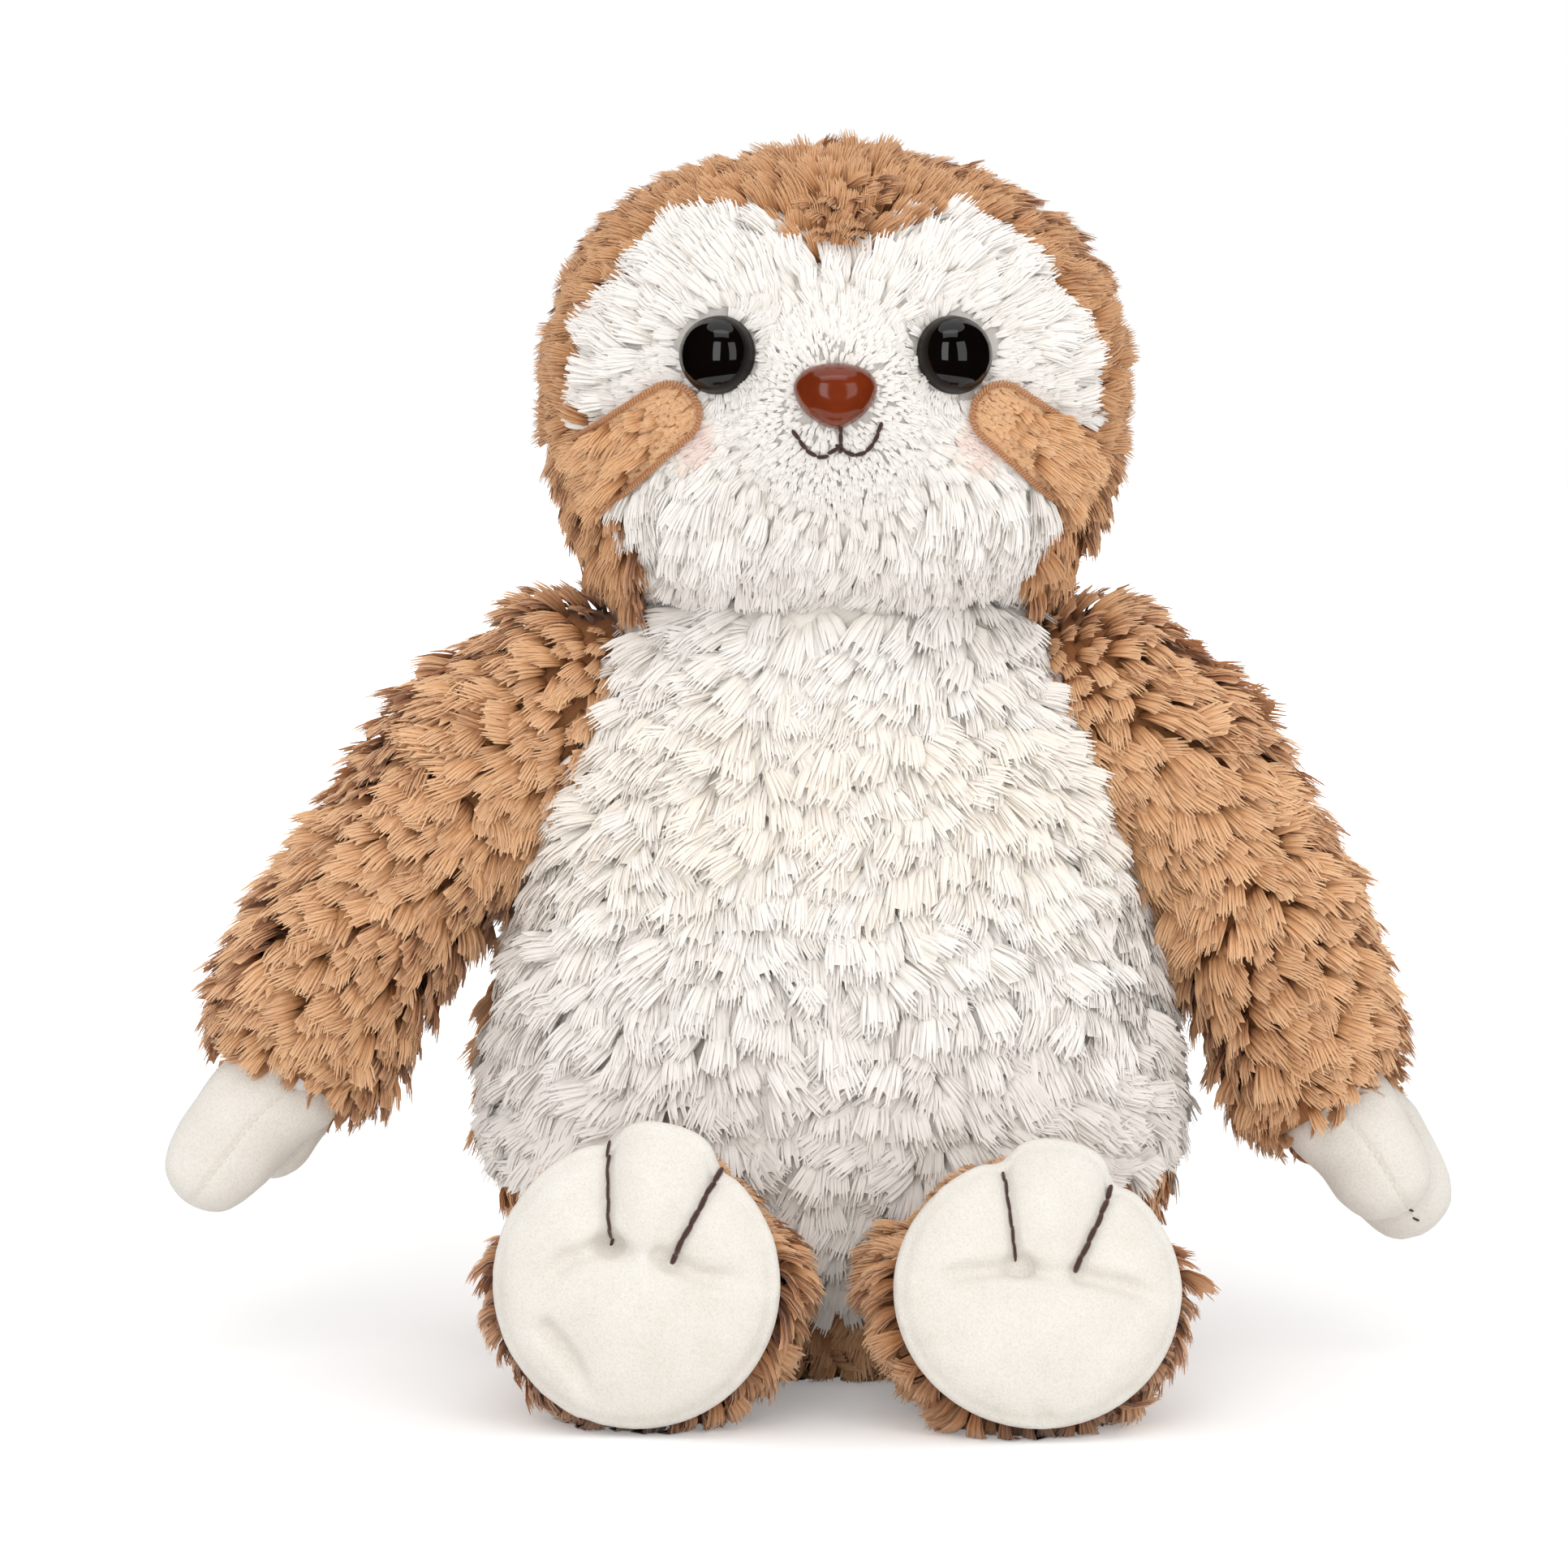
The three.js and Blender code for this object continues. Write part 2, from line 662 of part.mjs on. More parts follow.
// Head: a white face panel let into tan fur, with plastic features locked through the cloth
function buildHead() {
  const eye = (offset) => solid(eyeShape(offset));
  const buttons = [
    { name: "left_eye", group: onFace(eyeSpacing / 2, eyeHeight), shape: eye, material: blackPlastic },
    { name: "right_eye", group: onFace(-eyeSpacing / 2, eyeHeight), shape: eye, material: blackPlastic },
    { name: "nose", group: onFace(0, noseHeight), shape: noseShape, material: brownPlastic },
  ];
  const wadHollow = sphereAt(new THREE.Vector3(), hollowRadius(neckWadRadius, neckSides), neckSides);
  let hollows = solid(wadHollow).add(solid(nodSpace()));
  for (const { name, group, shape, material } of buttons) {
    piece(group, name, shape(0), material);
    piece(group, `${name}_washer`, washerShape(0), clearNylon);
    for (const grown of [geometryOf(shape(clearance)), washerShape(clearance)]) {
      hollows = hollows.add(solid(inFrameOf(head, group, grown)));
    }
  }
  const mouth = mouthSolid(0);
  hollows = hollows.add(mouthSolid(clearance));
  piece(head, "mouth_stitches", mouth, brownThread);

  const shell = solid(headForm(0)).subtract(solid(headForm(-furThickness))).subtract(hollows);
  const facePrism = (gap) => solid(throughFace(faceOutline(gap), -headForward));
  piece(head, "face_panel", shell.intersect(facePrism(0)), whiteFur);
  piece(head, "head_back_panel", shell.subtract(facePrism(clearance)), tanFur);
  piece(head, "head_stuffing", solid(headForm(-furThickness - clearance)).subtract(hollows), fibreFill);

  const patchLayer = solid(headForm(clearance + feltThickness)).subtract(solid(headForm(clearance)));
  for (const { name, side } of limbs) {
    const outline = solid(throughFace(patchOutline(side), -headForward));
    piece(head, `${name}_eye_patch`, patchLayer.intersect(outline).subtract(hollows), tanFelt);
  }
}

// Arm: a tan sleeve, closed at the shoulder and open at the cuff, over fibre fill, with an ivory mitt
function buildArm({ name, side, arm }) {
  const wrist = new THREE.Group();
  wrist.position.set(0, 0, -(armLength - mittInset));
  arm.add(wrist);
  piece(wrist, `${name}_mitt`, mittSolid(0), ivoryVelour);

  const mittSpace = inFrameOf(arm, wrist, swingSpace(mittRootRadius, mittTaper + wristFlex));
  const shoulder = solid(sphereAt(arm.position, shoulderBall, limbSides));
  const flank = geometryOf(solid(torsoForm(clearance)).subtract(shoulder));
  const taken = solid(mittSpace).add(solid(inFrameOf(arm, sloth, flank)));
  const lining = solid(armForm(-furThickness, swingReach, side));
  const sleeve = solid(armForm(0, 0, side)).subtract(lining).subtract(taken);
  piece(arm, `${name}_arm_sleeve`, sleeve, tanFur);
  const fill = solid(armForm(-furThickness - clearance, 0, side)).subtract(taken);
  piece(arm, `${name}_arm_stuffing`, fill, fibreFill);
}

// Sole outline: round, with the middle toe reaching past the top
function soleOutline(angle) {
  const fromUp = Math.atan2(Math.cos(angle), Math.sin(angle)) / degrees;
  const middleToe = Math.exp(-(((fromUp - toeTurn) / (toeSpread * 0.85)) ** 4));
  return soleRadius + toeBulge * middleToe;
}

// The two lines that part the toes run from the rim in towards the middle of the sole
const toeLine = (sign) => {
  const spot = (spread, share) => {
    const lean = (toeTurn + sign * spread) * degrees;
    return new THREE.Vector2(Math.sin(lean), Math.cos(lean)).multiplyScalar(soleRadius * share);
  };
  return new THREE.LineCurve(spot(toeFootSpread, toeLineFoot), spot(toeSpread, toeLineTop));
};

// Height of the sole's cushion above its back, at a place on its face
function soleHeight(x, z) {
  const angle = Math.atan2(z, x);
  const share = Math.min(1, Math.hypot(x, z) / soleOutline(angle));
  let height = soleThickness + soleCrown * (1 - share ** 2) - soleThickness * 0.6 * share ** 8;
  for (const sign of [-1, 1]) {
    const line = toeLine(sign);
    const along = line.v2.clone().sub(line.v1);
    const from = new THREE.Vector2(x, z).sub(line.v1);
    const t = THREE.MathUtils.clamp(from.dot(along) / along.lengthSq(), 0, 1);
    const off = from.distanceTo(along.multiplyScalar(t)) / toeChannelHalfWidth;
    height -= toeChannel * Math.exp(-(off ** 2));
  }
  return height;
}

// Sole: a crowned cushion that faces -Y, with channels where the toes are sewn apart
function soleForm() {
  const bands = 6;
  const rings = [];
  const ringAt = (share, depth) =>
    Array.from({ length: soleSides }, (_, s) => {
      const angle = (2 * Math.PI * s) / soleSides;
      const radius = soleOutline(angle) * share;
      const x = radius * Math.cos(angle);
      const z = radius * Math.sin(angle);
      return new THREE.Vector3(x, -(depth ?? soleHeight(x, z)), z);
    });
  rings.push(ringAt(0.93, 0), ringAt(1, soleThickness * 0.3));
  for (let i = 0; i < bands; i++) {
    rings.push(ringAt(1 - (i + 0.25) / (bands + 0.25)));
  }
  return loft(rings);
}

function toeThread(sign, offset) {
  const line = toeLine(sign);
  const spots = line.getPoints(6).map((p) =>
    new THREE.Vector3(p.x, -(soleHeight(p.x, p.y) + threadDiameter / 2 - clearance), p.y));
  const section = new THREE.Shape().absarc(0, 0, threadDiameter / 2 + offset, 0, 2 * Math.PI);
  const path = new THREE.CatmullRomCurve3(spots);
  const steps = { steps: 8, curveSegments: threadSides / 2, bevelEnabled: false, extrudePath: path };
  return solid(new THREE.ExtrudeGeometry(section, steps));
}

// Leg: a short tan sleeve over fibre fill, closed by an ivory sole and flat where it rests
function buildLeg({ name, leg, soleTilt }) {
  const floor = solid(inFrameOf(leg, sloth, floorCut));
  const lining = solid(legForm(-furThickness, swingReach, soleTilt));
  piece(leg, `${name}_leg_sleeve`, solid(legForm(0, 0, soleTilt)).subtract(lining).subtract(floor), tanFur);
  const fill = solid(legForm(-furThickness - clearance, 0, soleTilt)).subtract(floor);
  piece(leg, `${name}_leg_stuffing`, fill, fibreFill);

  const sole = new THREE.Group();
  sole.position.set(0, -(legLength + clearance / Math.cos(soleTilt * degrees)), 0);
  sole.rotation.x = -soleTilt * degrees;
  leg.add(sole);
  let cushion = solid(soleForm()).subtract(solid(inFrameOf(sole, sloth, floorCut)));
  for (const [sign, place] of [[-1, "right"], [1, "left"]]) {
    piece(sole, `${name}_toe_line_${place}`, toeThread(sign, 0), brownThread);
    cushion = cushion.subtract(toeThread(sign, clearance));
  }
  piece(sole, `${name}_sole`, cushion, ivoryVelour);
}

buildTorso();
buildNeck();
buildHead();
limbs.forEach(buildArm);
limbs.forEach(buildLeg);

export default sloth;
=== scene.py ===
# Plush sloth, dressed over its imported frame. Sizes are millimetres until a mesh is made.
import json
import math

import bpy
import numpy as np
from mathutils import Matrix, Vector, noise
from mathutils.bvhtree import BVHTree

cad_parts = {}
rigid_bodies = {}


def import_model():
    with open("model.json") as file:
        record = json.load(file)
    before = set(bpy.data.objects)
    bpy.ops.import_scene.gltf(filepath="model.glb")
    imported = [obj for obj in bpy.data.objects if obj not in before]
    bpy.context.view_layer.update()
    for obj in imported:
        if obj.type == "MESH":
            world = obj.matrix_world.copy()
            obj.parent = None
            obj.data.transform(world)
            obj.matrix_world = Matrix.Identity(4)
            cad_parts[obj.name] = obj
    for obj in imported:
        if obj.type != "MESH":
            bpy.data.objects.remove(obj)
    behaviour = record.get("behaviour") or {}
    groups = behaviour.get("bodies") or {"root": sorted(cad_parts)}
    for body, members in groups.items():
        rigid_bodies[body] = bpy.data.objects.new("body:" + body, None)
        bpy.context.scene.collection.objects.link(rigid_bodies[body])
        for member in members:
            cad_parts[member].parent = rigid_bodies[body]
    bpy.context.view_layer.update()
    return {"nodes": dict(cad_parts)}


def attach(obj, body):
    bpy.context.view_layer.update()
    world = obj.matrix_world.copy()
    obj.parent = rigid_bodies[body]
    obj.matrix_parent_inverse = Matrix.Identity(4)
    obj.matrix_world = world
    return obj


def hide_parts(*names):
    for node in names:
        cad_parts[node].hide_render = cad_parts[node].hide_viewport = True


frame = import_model()
scene = bpy.context.scene
mm = 0.001
sides = ((1, "left"), (-1, "right"))
print("frame loaded")


# small helpers for points and meshes
def unit(v):
    return v / np.maximum(np.linalg.norm(v, axis=-1, keepdims=True), 1e-9)


def moved(matrix, points):
    m = np.array(matrix)
    return points @ m[:3, :3].T + m[:3, 3]


def smoothStep(low, high, value):
    t = np.clip((value - low) / (high - low), 0, 1)
    return t * t * (3 - 2 * t)


def lumps(points, size, seed):
    # smooth noise between about -1 and 1, with bumps of the given size
    shift = Vector((seed * 1.37, -seed * 2.11, seed * 0.73))
    return np.array([noise.noise(Vector(p) / size + shift) for p in np.asarray(points).tolist()])


def newPiece(name, points, faces, material=None):
    mesh = bpy.data.meshes.new(name)
    mesh.from_pydata((np.asarray(points, float) * mm).tolist(), [], [list(f) for f in faces])
    mesh.polygons.foreach_set("use_smooth", [True] * len(mesh.polygons))
    if material:
        mesh.materials.append(material)
    obj = bpy.data.objects.new(name, mesh)
    scene.collection.objects.link(obj)
    return obj


def gridFaces(rows, columns):
    r, c = np.meshgrid(np.arange(rows - 1), np.arange(columns), indexing="ij")
    a = r * columns + c
    b = r * columns + (c + 1) % columns
    return np.stack([a, b, b + columns, a + columns], axis=-1).reshape(-1, 4)


def closedForm(grid):
    rows, columns, _ = grid.shape
    points = np.vstack([grid.reshape(-1, 3), grid[0].mean(0), grid[-1].mean(0)])
    faces = gridFaces(rows, columns).tolist()
    first, last = rows * columns, (rows - 1) * columns
    for c in range(columns):
        n = (c + 1) % columns
        faces += [[first, n, c], [first + 1, last + c, last + n]]
    return points, faces


def pointNormals(points, faces):
    q = np.asarray(faces)
    cross = np.cross(points[q[:, 2]] - points[q[:, 0]], points[q[:, 3]] - points[q[:, 1]])
    normals = np.zeros_like(points)
    for k in range(4):
        np.add.at(normals, q[:, k], cross)
    return unit(normals)


def keepResult(obj, modifier):
    # what the modifier gives becomes the piece's plain mesh
    mesh = bpy.data.meshes.new_from_object(obj.evaluated_get(bpy.context.evaluated_depsgraph_get()))
    obj.modifiers.remove(modifier)
    old = obj.data
    obj.data = mesh
    bpy.data.meshes.remove(old)
    mesh.name = obj.name
    return mesh


def finishPiece(obj, body, slot, *nodes):
    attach(obj, body)
    if nodes:
        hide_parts(*nodes)


def fillPiece(name, points, faces, body, node):
    obj = newPiece(name, points, faces, fibreFill)
    finishPiece(obj, body, "fibre_fill", node)


# the stuffed forms follow the same stations as the solids they replace
def stationCurve(stations, count):
    p = np.asarray(stations, float)
    p = np.vstack([2 * p[0] - p[1], p, 2 * p[-1] - p[-2]])
    out = []
    for t in np.linspace(0, len(p) - 3, count):
        i = min(int(t), len(p) - 4)
        q, u = p[i:i + 4], t - i
        d = np.linalg.norm(np.diff(q, axis=0), axis=1) ** 0.5
        into = (q[1] - q[0]) / d[0] - (q[2] - q[0]) / (d[0] + d[1]) + (q[2] - q[1]) / d[1]
        away = (q[2] - q[1]) / d[1] - (q[3] - q[1]) / (d[1] + d[2]) + (q[3] - q[2]) / d[2]
        out.append((2 * u**3 - 3 * u**2 + 1) * q[1] + (u**3 - 2 * u**2 + u) * into * d[1]
                   + (3 * u**2 - 2 * u**3) * q[2] + (u**3 - u**2) * away * d[1])
    return np.array(out)


def flatCurve(line, count):
    return stationCurve(np.column_stack([line, np.zeros(len(line))]), count)[:, :2]


squareness = 2.25  # 2 is an ellipse


def bodyGrid(stations, rows, columns, offset, ends=(0, 0)):
    curve = stationCurve(stations, rows)
    bottom, top = curve[0, 2], curve[-1, 2]
    level = bottom + ends[0] + (curve[:, 2] - bottom) * (top - bottom - ends[0] - ends[1]) / (top - bottom)
    angle = np.linspace(0, 2 * np.pi, columns, endpoint=False)
    across = np.sign(np.cos(angle)) * np.abs(np.cos(angle)) ** (2 / squareness)
    along = np.sign(np.sin(angle)) * np.abs(np.sin(angle)) ** (2 / squareness)
    x = (curve[:, :1] + offset) * across
    y = (curve[:, 1:2] + offset) * along
    return np.stack([x, y, np.repeat(level[:, None], columns, axis=1)], axis=-1)


def circle(radius, height, columns, shift=0):
    angle = np.linspace(0, 2 * np.pi, columns, endpoint=False)
    x, y = radius * np.cos(angle) + shift, radius * np.sin(angle)
    return np.stack([x, y, np.full(columns, height)], axis=-1)


def limbSection(limb, share, side):
    # the radius at a share of the limb's length, and how far its bow moves the middle
    radius = (limb["root"] * (2 * share - 1) * (share - 1) + limb["swell"] * 4 * share * (1 - share)
              + limb["end"] * share * (2 * share - 1))
    arc = np.sin(np.pi * share)
    return radius, side * limb["bow"] * (0.6 * arc**2 + 0.4 * arc)


def limbGrid(limb, rows, columns, offset, side=1, ballRows=10):
    # from the open end up to the ball at the root, along -Z
    grid = []
    for share in np.linspace(1, 0, rows):
        radius, shift = limbSection(limb, share, side)
        grid.append(circle(radius + offset, -share * limb["length"], columns, shift))
    ball = limb["root"] + offset
    for tilt in np.radians(np.linspace(0, 86, ballRows)[1:]):
        grid.append(circle(ball * math.cos(tilt), ball * math.sin(tilt), columns))
    return np.array(grid)


# Materials
def linear(code):
    # an sRGB hex colour as linear light
    parts = [int(code[i:i + 2], 16) / 255 for i in (1, 3, 5)]
    return [c / 12.92 if c <= 0.04045 else ((c + 0.055) / 1.055) ** 2.4 for c in parts] + [1]


def addNode(tree, kind, inputs=None, stops=None, **settings):
    node = tree.nodes.new(kind)
    for key, value in settings.items():
        setattr(node, key, value)
    for i, (place, code) in enumerate(stops or []):
        element = node.color_ramp.elements[i] if i < 2 else node.color_ramp.elements.new(place)
        element.position = place
        element.color = linear(code)
    for key, value in (inputs or {}).items():
        socket = node.inputs[key] if isinstance(key, int) else next(
            s for s in node.inputs if s.name == key and s.enabled)
        if isinstance(value, bpy.types.Node):
            value = next(s for s in value.outputs if s.enabled)
        if isinstance(value, bpy.types.NodeSocket):
            tree.links.new(value, socket)
        else:
            socket.default_value = value
    return node


def newMaterial(name, **values):
    material = bpy.data.materials.new(name)
    material.use_nodes = True
    tree = material.node_tree
    shader = tree.nodes["Principled BSDF"]
    for key, value in values.items():
        shader.inputs[key.replace("_", " ")].default_value = value
    return material, tree, shader


def furMaterial(name, rootShadeStops, paletteStops, streakStops, sheen):
    # Acrylic pile: soft matt fibres, darkened by painted shade at the roots where light is lost, pale and a
    # little shiny at the tips. The map's height runs from root to tip, and its width holds the lighter and
    # darker tufts.
    material, tree, shader = newMaterial(
        name, Roughness=0.8, IOR=1.49, Sheen_Weight=sheen, Sheen_Roughness=0.45)
    uv = addNode(tree, "ShaderNodeUVMap", uv_map="OFBake")
    split = addNode(tree, "ShaderNodeSeparateXYZ", {"Vector": uv})
    along = addNode(tree, "ShaderNodeValToRGB", {"Fac": split.outputs["Y"]}, stops=rootShadeStops)
    tone = addNode(tree, "ShaderNodeValToRGB", {"Fac": split.outputs["X"]}, stops=paletteStops)
    # about three fibres across each ribbon
    stretch = addNode(tree, "ShaderNodeMapping", {"Vector": uv, "Scale": (420, 5, 1)})
    fibres = addNode(tree, "ShaderNodeTexNoise", {"Vector": stretch, "Scale": 1.0, "Detail": 2.0})
    streak = addNode(tree, "ShaderNodeValToRGB", {"Fac": fibres.outputs["Fac"]}, stops=streakStops)
    toned = addNode(tree, "ShaderNodeMix", {"Factor": 1.0, "A": along, "B": tone},
                    data_type="RGBA", blend_type="MULTIPLY")
    streaked = addNode(tree, "ShaderNodeMix", {"Factor": 1.0, "A": toned.outputs[2], "B": streak},
                       data_type="RGBA", blend_type="MULTIPLY")
    tree.links.new(streaked.outputs[2], shader.inputs["Base Color"])
    return material


# the first stops of each fur run from painted shade at the roots to the pale tips
tanFur = furMaterial(
    "tanAcrylicFur",
    [(0.0, "#7D4B27"), (0.3, "#B47C4A"), (0.62, "#E3B081"), (1.0, "#F5CEA5")],
    [(0.0, "#EFE7DF"), (0.3, "#FFFFFF"), (0.62, "#FFF8EE"), (1.0, "#E2D6CB")],
    [(0.3, "#DCCDBE"), (0.62, "#FFFFFF")], 0.2)
whiteFur = furMaterial(
    "whiteAcrylicFur",
    [(0.0, "#F6EEE3"), (0.25, "#F7F3EC"), (0.6, "#F8F4EF"), (1.0, "#F9F6F2")],
    [(0.0, "#FAF9F8"), (0.3, "#FFFFFF"), (0.62, "#FFFAF3"), (0.72, "#FDEEEA"), (1.0, "#FCE6E1")],
    [(0.3, "#F3F0EC"), (0.62, "#FFFFFF")], 0.35)


def velourMaterial():
    # Sheared polyester velour: a dense pile under a millimetre tall, nearly matt, with pale edges where
    # fibres catch the light and faint darker brush marks.
    material, tree, shader = newMaterial(
        "ivoryVelour", Roughness=0.88, IOR=1.5, Sheen_Weight=0.35, Sheen_Roughness=0.4)
    place = addNode(tree, "ShaderNodeTexCoord").outputs["Object"]
    brushed = addNode(tree, "ShaderNodeTexNoise", {"Vector": place, "Scale": 90.0, "Detail": 3.0})
    pile = addNode(tree, "ShaderNodeTexNoise", {"Vector": place, "Scale": 2200.0, "Detail": 2.0})
    tint = addNode(tree, "ShaderNodeValToRGB", {"Fac": brushed.outputs["Fac"]},
                   stops=[(0.3, "#DFDAD2"), (0.7, "#E6E2DB")])
    nap = addNode(tree, "ShaderNodeValToRGB", {"Fac": pile.outputs["Fac"]},
                  stops=[(0.3, "#F0EBE3"), (0.6, "#FFFFFF")])
    cloth = addNode(tree, "ShaderNodeMix", {"Factor": 0.7, "A": tint, "B": nap},
                    data_type="RGBA", blend_type="MULTIPLY")
    tree.links.new(cloth.outputs[2], shader.inputs["Base Color"])
    bump = addNode(tree, "ShaderNodeBump", {
        "Height": pile.outputs["Fac"], "Strength": 0.35, "Distance": 0.4 * mm})
    tree.links.new(bump.outputs["Normal"], shader.inputs["Normal"])
    return material


def clothMaterial(name, dark, pale, size, roughness, sheen, bumpDepth):
    # Soft fibres seen close: clumped or woven, matt, with a mottled colour at the given size in millimetres.
    material, tree, shader = newMaterial(name, Roughness=roughness, IOR=1.5, Sheen_Weight=sheen)
    place = addNode(tree, "ShaderNodeTexCoord").outputs["Object"]
    grain = addNode(tree, "ShaderNodeTexNoise", {"Vector": place, "Scale": 1000 / size, "Detail": 4.0})
    tint = addNode(tree, "ShaderNodeValToRGB", {"Fac": grain.outputs["Fac"]},
                   stops=[(0.3, dark), (0.7, pale)])
    tree.links.new(tint.outputs["Color"], shader.inputs["Base Color"])
    bump = addNode(tree, "ShaderNodeBump", {
        "Height": grain.outputs["Fac"], "Strength": 0.5, "Distance": bumpDepth * mm})
    tree.links.new(bump.outputs["Normal"], shader.inputs["Normal"])
    return material


def plasticMaterial(name, deep, bright, roughness, gloss=0.5):
    # Moulded plastic: an even colour with faint flow clouds, as polished as its roughness says.
    material, tree, shader = newMaterial(name, Roughness=roughness, IOR=1.5, Specular_IOR_Level=gloss)
    place = addNode(tree, "ShaderNodeTexCoord").outputs["Object"]
    flow = addNode(tree, "ShaderNodeTexNoise", {"Vector": place, "Scale": 160.0, "Detail": 2.0})
    tint = addNode(tree, "ShaderNodeValToRGB", {"Fac": flow.outputs["Fac"]},
                   stops=[(0.3, deep), (0.7, bright)])
    tree.links.new(tint.outputs["Color"], shader.inputs["Base Color"])
    return material


ivoryVelour = velourMaterial()
fibreFill = clothMaterial("polyesterFibre", "#DAD7D0", "#F2F0EC", 1.5, 0.95, 0.2, 0.6)
pouchCotton = clothMaterial("wovenCotton", "#C4BDAE", "#DDD7CB", 0.7, 0.9, 0.1, 0.2)
brownFloss = clothMaterial("brownFloss", "#2E1510", "#552C22", 0.25, 0.6, 0.3, 0.05)
tanFloss = clothMaterial("tanFloss", "#A56A3E", "#CB9263", 0.3, 0.5, 0.3, 0.05)
ivoryFloss = clothMaterial("ivoryFloss", "#D9D1C0", "#EFE9DC", 0.25, 0.6, 0.2, 0.05)
blackPlastic = plasticMaterial("blackEyePlastic", "#060403", "#0B0706", 0.05)
brownPlastic = plasticMaterial("brownNosePlastic", "#66250B", "#782E10", 0.14)
rimPlastic = plasticMaterial("brownEyeRim", "#120B08", "#1C120D", 0.4, 0.2)
clearNylon = plasticMaterial("naturalNylon", "#DCD8CC", "#E8E5DB", 0.42)
print("materials made")


def newTree(name, result, **inputs):
    tree = bpy.data.node_groups.new(name, "GeometryNodeTree")
    for key, kind in inputs.items():
        tree.interface.new_socket(name=key, in_out="INPUT", socket_type="NodeSocket" + kind)
    tree.interface.new_socket(name=result, in_out="OUTPUT", socket_type="NodeSocketGeometry")
    return tree, addNode(tree, "NodeGroupInput").outputs


def bakedMesh(obj, tree, values, drop):
    # runs the tree on the piece, keeps its result and drops the attributes that were only for the tree
    modifier = obj.modifiers.new("nodes", "NODES")
    modifier.node_group = tree
    sockets = {s.name: s.identifier for s in tree.interface.items_tree if s.in_out == "INPUT"}
    for key, value in values.items():
        modifier[sockets[key]] = value
    mesh = keepResult(obj, modifier)
    for name in drop:
        if name in mesh.attributes:
            mesh.attributes.remove(mesh.attributes[name])
    return obj


# Fur: tufts like small flat brushes, planted on the cloth and combed by its own attributes
tuft = {
    "kinds": 7, "seed": 11, "sections": (0.0, 0.38, 0.76, 1.0), "rootWidth": 0.10, "tipWidth": 0.25,
    "floor": 0.3, "tones": (0.05, 0.27), "lengths": (0.82, 1.14), "clothTone": 0.12, "clothHeight": 0.2,
    # columns in the massed fibres, the loose strands on them, their width, how loosely they lie, the curve's
    # middle and tip, where the root starts on the painted root shade, and how far a strand shades as the
    # whole coat does
    "tan": {"columns": 5, "strands": 19, "width": 0.045, "loose": 0.06, "roll": 0.28, "middle": (0.16, 0.42),
            "tip": (0.77, 0.52), "root": 0.03, "soft": 0.7},
    "white": {"columns": 5, "strands": 18, "width": 0.045, "loose": 0.07, "roll": 0.25,
              "middle": (0.26, 0.30), "tip": (0.9, 0.27), "root": 0.06, "soft": 1.4},
    "nap": {"columns": 3, "strands": 6, "width": 0.1, "loose": 0.12, "roll": 0.25, "middle": (0.3, 0.28),
            "tip": (0.9, 0.28), "root": 0.6, "soft": 1.4},
}


def tuftMesh(name, rng, kind):
    bend = rng.uniform(-0.14, 0.14)
    start = np.zeros(3)
    middle = np.insert(kind["middle"], 1, bend * 0.3)
    tip = np.insert(kind["tip"], 1, bend)
    curve = lambda s: (1 - s) ** 2 * start + 2 * s * (1 - s) * middle + s * s * tip
    # the map climbs from the painted shade at the root to the pale tip
    shade = lambda t: kind["root"] + (0.97 - kind["root"]) * t
    points, faces, places = [], [], []
    # massed fibres with a ragged end
    wide = kind["columns"]
    reach = rng.uniform(0.74, 0.93, wide)
    for t in tuft["sections"]:
        for c in range(wide):
            aside, s = 1 - 2 * c / (wide - 1), t * reach[c]
            span = aside * (tuft["rootWidth"] * (1 - s) + tuft["tipWidth"] * s**0.8)
            points.append(curve(s) + [0, span, -0.07 * aside**2 * s])
            places.append((0.035 * aside, shade(t)))
    for a in (r * wide + c for r in range(3) for c in range(wide - 1)):
        faces.append([a, a + 1, a + 1 + wide, a + wide])
    # loose strands over them
    for k in range(kind["strands"]):
        aside, above = (2 * k + 1) / kind["strands"] - 1 + rng.normal(0, 0.04), rng.uniform(-0.1, 1)
        root = np.array([above * tuft["rootWidth"] * -0.4, aside * tuft["rootWidth"], 0])
        sway = aside * tuft["tipWidth"] + rng.normal(0, kind["loose"] * 0.35)
        spread = np.array([-above * kind["loose"], sway, above * kind["loose"]])
        reach = rng.uniform(0.86, 1.06) - 0.1 * abs(aside) ** 3
        roll = rng.normal(0, kind["roll"]) + 0.4 * aside
        tone = rng.uniform(-0.03, 0.03)
        first = len(points)
        for t in tuft["sections"]:
            s = t * reach
            spot = curve(s) + root * (1 - s) + spread * s**0.8
            along = unit(2 * (1 - s) * (middle - start) + 2 * s * (tip - middle))
            side = unit(np.cross(np.array([-along[2], 0, along[0]]), along))
            side = side * math.cos(roll) + np.cross(along, side) * math.sin(roll)
            half = kind["width"] / 2 * (0.8 + 0.4 * math.sin(math.pi * t) - 0.5 * t**4)
            for edge in (1, -1):
                points.append(spot + side * half * edge)
                places.append((tone + 0.007 * edge, shade(t)))
        for a in (first, first + 2, first + 4):
            faces.append([a, a + 1, a + 3, a + 2])
    mesh = bpy.data.meshes.new(name)
    mesh.from_pydata([p.tolist() for p in points], [], faces)
    mesh.polygons.foreach_set("use_smooth", [True] * len(faces))
    layer = mesh.uv_layers.new(name="OFBake")
    for loop in mesh.loops:
        layer.uv[loop.index].vector = places[loop.vertex_index]
    return bpy.data.objects.new(name, mesh)


